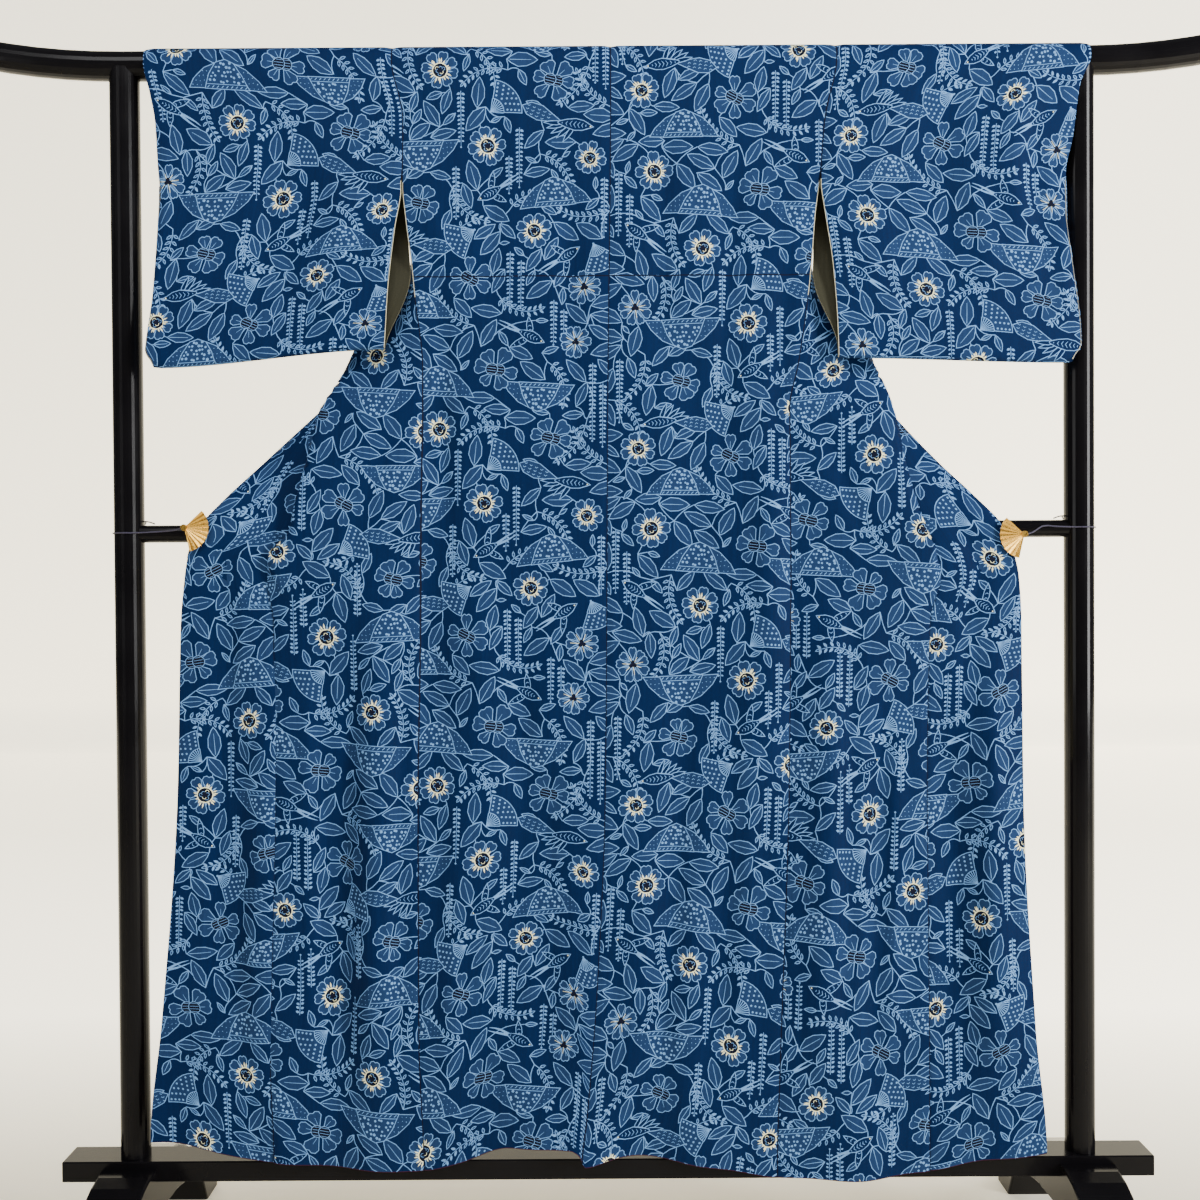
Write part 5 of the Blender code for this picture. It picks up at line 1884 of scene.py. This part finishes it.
def make_cord_finish():
    finish = Finish("dark_cord")
    place = finish.place()
    braid = finish.node(
        "ShaderNodeTexWave",
        {"Vector": place, "Scale": 380.0, "Distortion": 1.5, "Detail": 1.0},
        bands_direction="DIAGONAL",
    ).outputs["Fac"]
    finish.set(
        Base_Color=finish.shade(srgb(44, 38, 66), finish.ranged(braid, 0.6, 1.25, 0.0, 1.0)),
        Roughness=0.7,
        Normal=finish.bump(braid, 0.0002, 0.8),
        Sheen_Weight=0.2,
    )
    return finish.material


# The wall's and floor's colour as on screen, and how strongly the paint glows
BACKDROP_COLOUR = (250, 242, 220)
BACKDROP_GLOW = 2.25


def make_backdrop_paint():
    """Matt paint that glows by itself behind the stand, as a wall lit from elsewhere."""
    finish = Finish("backdrop")
    colour = srgb(*BACKDROP_COLOUR)
    place = finish.place()
    grain = finish.noise(place, 60.0, 4.0)
    parts = finish.node("ShaderNodeSeparateXYZ", {"Vector": place}).outputs
    behind = finish.ranged(parts["Y"], 0.0, 1.0, 0.1, 1.0)
    behind = finish.times(behind, finish.ranged(parts["Y"], 1.3, 0.95, 1.0, 3.0))
    towards_right = finish.ranged(parts["X"], 0.95, 1.35, -0.5, 2.6)
    finish.set(
        Base_Color=finish.shade(colour, finish.ranged(grain, 0.985, 1.015)),
        Roughness=0.85,
        Specular_IOR_Level=0.2,
        Emission_Color=colour,
        Emission_Strength=finish.times(finish.times(behind, towards_right), BACKDROP_GLOW),
    )
    return finish.material


SILK_COLOURS = {
    "ground": srgb(2, 26, 62),
    "fill": srgb(26, 50, 86),
    "line": srgb(106, 150, 202),
    "cream": srgb(238, 236, 196),
    # dark is a print ink, and is also used as the painted shadow line along seams
    "dark": srgb(12, 16, 34),
    "edge": srgb(196, 190, 158),
    "hem_lining": srgb(54, 20, 36),
    # lining: the cream lining darkened to olive, painted shade for the unlit inside of the sleeves
    "lining": srgb(50, 49, 38),
}
SILK_ORDER = (*INKS, "edge", "hem_lining", "lining")
EDGE_SLOT = SILK_ORDER.index("edge")
# The sleeve lining's slot: its olive colour is painted shade
PAINTED_SHADE_LINING_SLOT = SILK_ORDER.index("lining")
HEM_LINING_SLOT = SILK_ORDER.index("hem_lining")
# Seams, the tuck and the okumi seam get the dark ink as a painted shadow line
SEAM_SHADOW_SLOT = SILK_ORDER.index("dark")
# How far the hem lining reaches up from the hem
HEM_LINING_REACH = 0.52

# How each panel is cut from the printed bolt: direction across, start across,
# direction along and start along, in centimetres
LAYOUTS = {
    "body_left": (-1, 36.0, -1, 11.0),
    "body_right": (1, 0.0, -1, 35.3),
    "okumi_left": (1, 9.0, 1, 20.0),
    "okumi_right": (-1, 27.0, 1, 3.0),
    "sleeve_left": (-1, 35.4, -1, 4.0),
    "sleeve_right": (1, 0.4, -1, 29.0),
    "collar": (1, 14.0, 1, 0.0),
}


def same_slot(slot):
    """Gives one material everywhere on a cloth."""

    def choose(*places):
        return np.full(len(places[0]), slot)

    return choose


def hem_slots(cloth, reach, slot, other, both_ends=True):
    """Gives one material near the hems of a cloth, and another elsewhere."""

    def choose(along):
        low = cloth.end - along
        if both_ends:
            low = np.minimum(low, along - cloth.start)
        return np.where(low < reach, slot, other)

    return choose


def sleeve_rim(away, along):
    # Open edges show the lining's turned edge; sewn edges get a seam's painted shadow line
    lining = (away < EDGE_STRIP) & (np.abs(along) > ARMHOLE_DROP)
    sewn = (away < EDGE_STRIP) & (np.abs(along) < ARMHOLE_DROP)
    return np.where(lining, EDGE_SLOT, np.where(sewn, SEAM_SHADOW_SLOT, 0))


def body_rim(cloth):
    hem = hem_slots(cloth, EDGE_STRIP, HEM_LINING_SLOT, 0)

    def choose(away, along):
        open_edge = (np.abs(along) < SIDE_SEAM_DROP) & (np.abs(along) > ARMHOLE_DROP)
        armhole = (away > cloth.full - EDGE_STRIP) & open_edge
        # Sewn edges, the tuck and the okumi seam get a painted shadow line, twice as wide at the
        # okumi seam
        sewn = (away < EDGE_STRIP) | (away > cloth.full - EDGE_STRIP) & ~open_edge
        sewn |= np.abs(along + TUCK_DROP) < EDGE_STRIP
        from_okumi = away - cloth.neck * cloth.full
        sewn |= (np.abs(from_okumi) < 2 * EDGE_STRIP) & (along > cloth.join)
        found = np.where(sewn, SEAM_SHADOW_SLOT, hem(along))
        return np.where(armhole, EDGE_SLOT, found)

    return choose


def okumi_rim(cloth):
    hem = hem_slots(cloth, EDGE_STRIP, HEM_LINING_SLOT, 0, False)

    def choose(away, along):
        # The seam edge gets a seam's painted shadow line
        return np.where(away < EDGE_STRIP, SEAM_SHADOW_SLOT, hem(along))

    return choose


def make_panel(node, clothes, repeat, silks, lining, rim):
    """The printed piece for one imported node, with its flat size and area."""
    shells = [make_shell(cloth, LAYOUTS[node], repeat, lining, rim) for cloth in clothes]
    piece = make_cloth(f"cloth_{node}", shells, silks)
    main = clothes[0]
    return piece, (main.full, float(main.end - main.start)), sum(cloth.area() for cloth in clothes)


def close_centre_seam(left, right):
    middle = (left.points[:, 0] + right.points[:, 0]) / 2
    left.points[:, 0] = right.points[:, 0] = middle
    left.settle()
    right.settle()


def close_sleeve_seam(sleeve, body):
    """Brings the sleeve's first edge to the body's side edge, over the sewn length."""
    drops = np.maximum(-sleeve.along, sleeve.along - FAR_SHIFT)
    start = ARMHOLE_DROP - ARMHOLE_EASE
    share = np.array([1 - ease(drop, start, ARMHOLE_DROP) for drop in drops])
    sewn = share > 0
    spots = body.sample(np.ones(int(sewn.sum())), sleeve.along[sewn])[0]
    share = share[sewn][:, None]
    sleeve.points[sewn, 0] = sleeve.points[sewn, 0] * (1 - share) + spots * share
    sleeve.settle()


def make_garment(silks, repeat):
    """All the cloth pieces by node, each with its flat size and area."""
    pieces = {}

    def add(node, clothes, lining, rim):
        pieces[node] = make_panel(node, clothes, repeat, silks, lining, rim)

    folds = np.linspace(-FOLD_DROP, FOLD_DROP + FAR_SHIFT, FOLD_STEPS + 1)
    bodies = {side: BodyCloth(side) for side in SIDES}
    close_centre_seam(bodies["left"].back, bodies["right"].back)
    for side, body in bodies.items():
        lining = hem_slots(body, HEM_LINING_REACH, HEM_LINING_SLOT, EDGE_SLOT)
        add(f"body_{side}", [body], lining, body_rim(body))
        okumi = PlainCloth(okumi_patch(side))
        lining = hem_slots(okumi, HEM_LINING_REACH, HEM_LINING_SLOT, EDGE_SLOT, False)
        add(f"okumi_{side}", [okumi], lining, okumi_rim(okumi))
        sleeve = sleeve_patch(side)
        close_sleeve_seam(sleeve, body)
        clothes = [PlainCloth(sleeve, folds), PlainCloth(sleeve_end_patch(side))]
        # The sleeves' inner faces take the olive lining colour: painted shade, not the cream
        # lining's own colour
        add(f"sleeve_{side}", clothes, same_slot(PAINTED_SHADE_LINING_SLOT), sleeve_rim)
    add("collar", [PlainCloth(collar_patch())], same_slot(0), same_slot(0))
    return pieces


def declare_cloth(pieces):
    for node, (piece, flat, area) in pieces.items():
        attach(piece, "root")
        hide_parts(node)


def paint_node(node, material):
    for slot in node.material_slots:
        slot.material = material


# Camera of the photo: its place, tilt and angle of view, from the stand's own sizes
PHOTO_WIDTH = 1200
FOCAL_PIXELS = 1203.0
SENSOR = 36.0
CAMERA_PLACE = (-0.0064, -1.665, 0.946)
CAMERA_PITCH = -0.69
CAMERA_ROLL = -0.36


def place_camera():
    data = bpy.data.cameras.new("camera")
    data.sensor_width = SENSOR
    data.sensor_fit = "HORIZONTAL"
    data.lens = SENSOR * FOCAL_PIXELS / PHOTO_WIDTH
    camera = add_object("camera", data)
    camera.location = CAMERA_PLACE
    camera.rotation_mode = "ZXY"
    camera.rotation_euler = (math.radians(90 + CAMERA_PITCH), 0.0, math.radians(CAMERA_ROLL))
    bpy.context.scene.camera = camera


# The stage: where the wall stands, the cove at its foot, and the floor's reach
WALL_Y = 5.5
COVE_RADIUS = 0.28
COVE_STEPS = 12
STAGE_HALF_WIDTH = 7.5
STAGE_COLUMNS = 9
STAGE_FRONT = -4.0
STAGE_HEIGHT = 6.5


def place_stage():
    """A pale floor that turns up into a pale wall behind the stand."""
    profile = [Vector((STAGE_FRONT, 0.0))]
    for step in range(COVE_STEPS + 1):
        angle = math.pi / 2 * step / COVE_STEPS
        y = WALL_Y - COVE_RADIUS + COVE_RADIUS * math.sin(angle)
        profile.append(Vector((y, COVE_RADIUS - COVE_RADIUS * math.cos(angle))))
    profile.append(Vector((WALL_Y, STAGE_HEIGHT)))
    bm = bmesh.new()
    rows = []
    for x in np.linspace(-STAGE_HALF_WIDTH, STAGE_HALF_WIDTH, STAGE_COLUMNS):
        rows.append([bm.verts.new((x, spot.x, spot.y)) for spot in profile])
    for a, b in zip(rows, rows[1:]):
        for k in range(len(profile) - 1):
            bm.faces.new((a[k], b[k], b[k + 1], a[k + 1])).smooth = True
    mesh = bpy.data.meshes.new("backdrop")
    bm.to_mesh(mesh)
    bm.free()
    mesh.materials.append(make_backdrop_paint())
    backdrop = add_object("backdrop", mesh)


# Place, target, width and height, and power in watts of each light
LIGHTS = {
    "key_left": ((-2.6, -2.2, 1.7), (0.0, 0.0, 0.9), (0.7, 2.6), 24.0),
    "key_right": ((3.0, -1.8, 1.7), (0.0, 0.0, 0.9), (0.7, 2.6), 205.0),
    "overhead": ((-0.3, -1.9, 3.1), (0.0, 0.2, 0.6), (2.6, 0.8), 66.0),
}
SKY_COLOUR = (0.95, 0.97, 1.0, 1.0)
SKY_STRENGTH = 0.16


def place_lights():
    world = bpy.data.worlds.new("studio")
    world.use_nodes = True
    background = world.node_tree.nodes["Background"]
    background.inputs["Color"].default_value = SKY_COLOUR
    background.inputs["Strength"].default_value = SKY_STRENGTH
    bpy.context.scene.world = world
    for name, (place, target, size, power) in LIGHTS.items():
        data = bpy.data.lights.new(name, "AREA")
        data.shape = "RECTANGLE"
        data.size, data.size_y = size
        data.energy = power
        light = add_object(name, data)
        light.location = place
        run = Vector(target) - Vector(place)
        light.rotation_euler = run.to_track_quat("-Z", "Y").to_euler()


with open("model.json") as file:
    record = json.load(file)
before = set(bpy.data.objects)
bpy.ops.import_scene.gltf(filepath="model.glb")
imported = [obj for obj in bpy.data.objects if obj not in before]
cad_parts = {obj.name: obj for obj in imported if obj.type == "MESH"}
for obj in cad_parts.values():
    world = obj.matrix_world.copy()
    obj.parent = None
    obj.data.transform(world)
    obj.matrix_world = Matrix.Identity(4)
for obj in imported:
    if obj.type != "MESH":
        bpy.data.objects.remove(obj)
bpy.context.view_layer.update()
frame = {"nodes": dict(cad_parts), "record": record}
place_camera()
place_stage()
place_lights()

silks = [make_silk(f"silk_{name}", SILK_COLOURS[name]) for name in SILK_ORDER]
repeat = Repeat(draw_print())
declare_cloth(make_garment(silks, repeat))

finishes = {
    "black_lacquer": make_lacquer(),
    "gold_metal": make_gold(),
    "dark_cord": make_cord_finish(),
}
for part in frame["record"]["subparts"]:
    if part["material_slot"] in finishes:
        paint_node(frame["nodes"][part["node"]], finishes[part["material_slot"]])
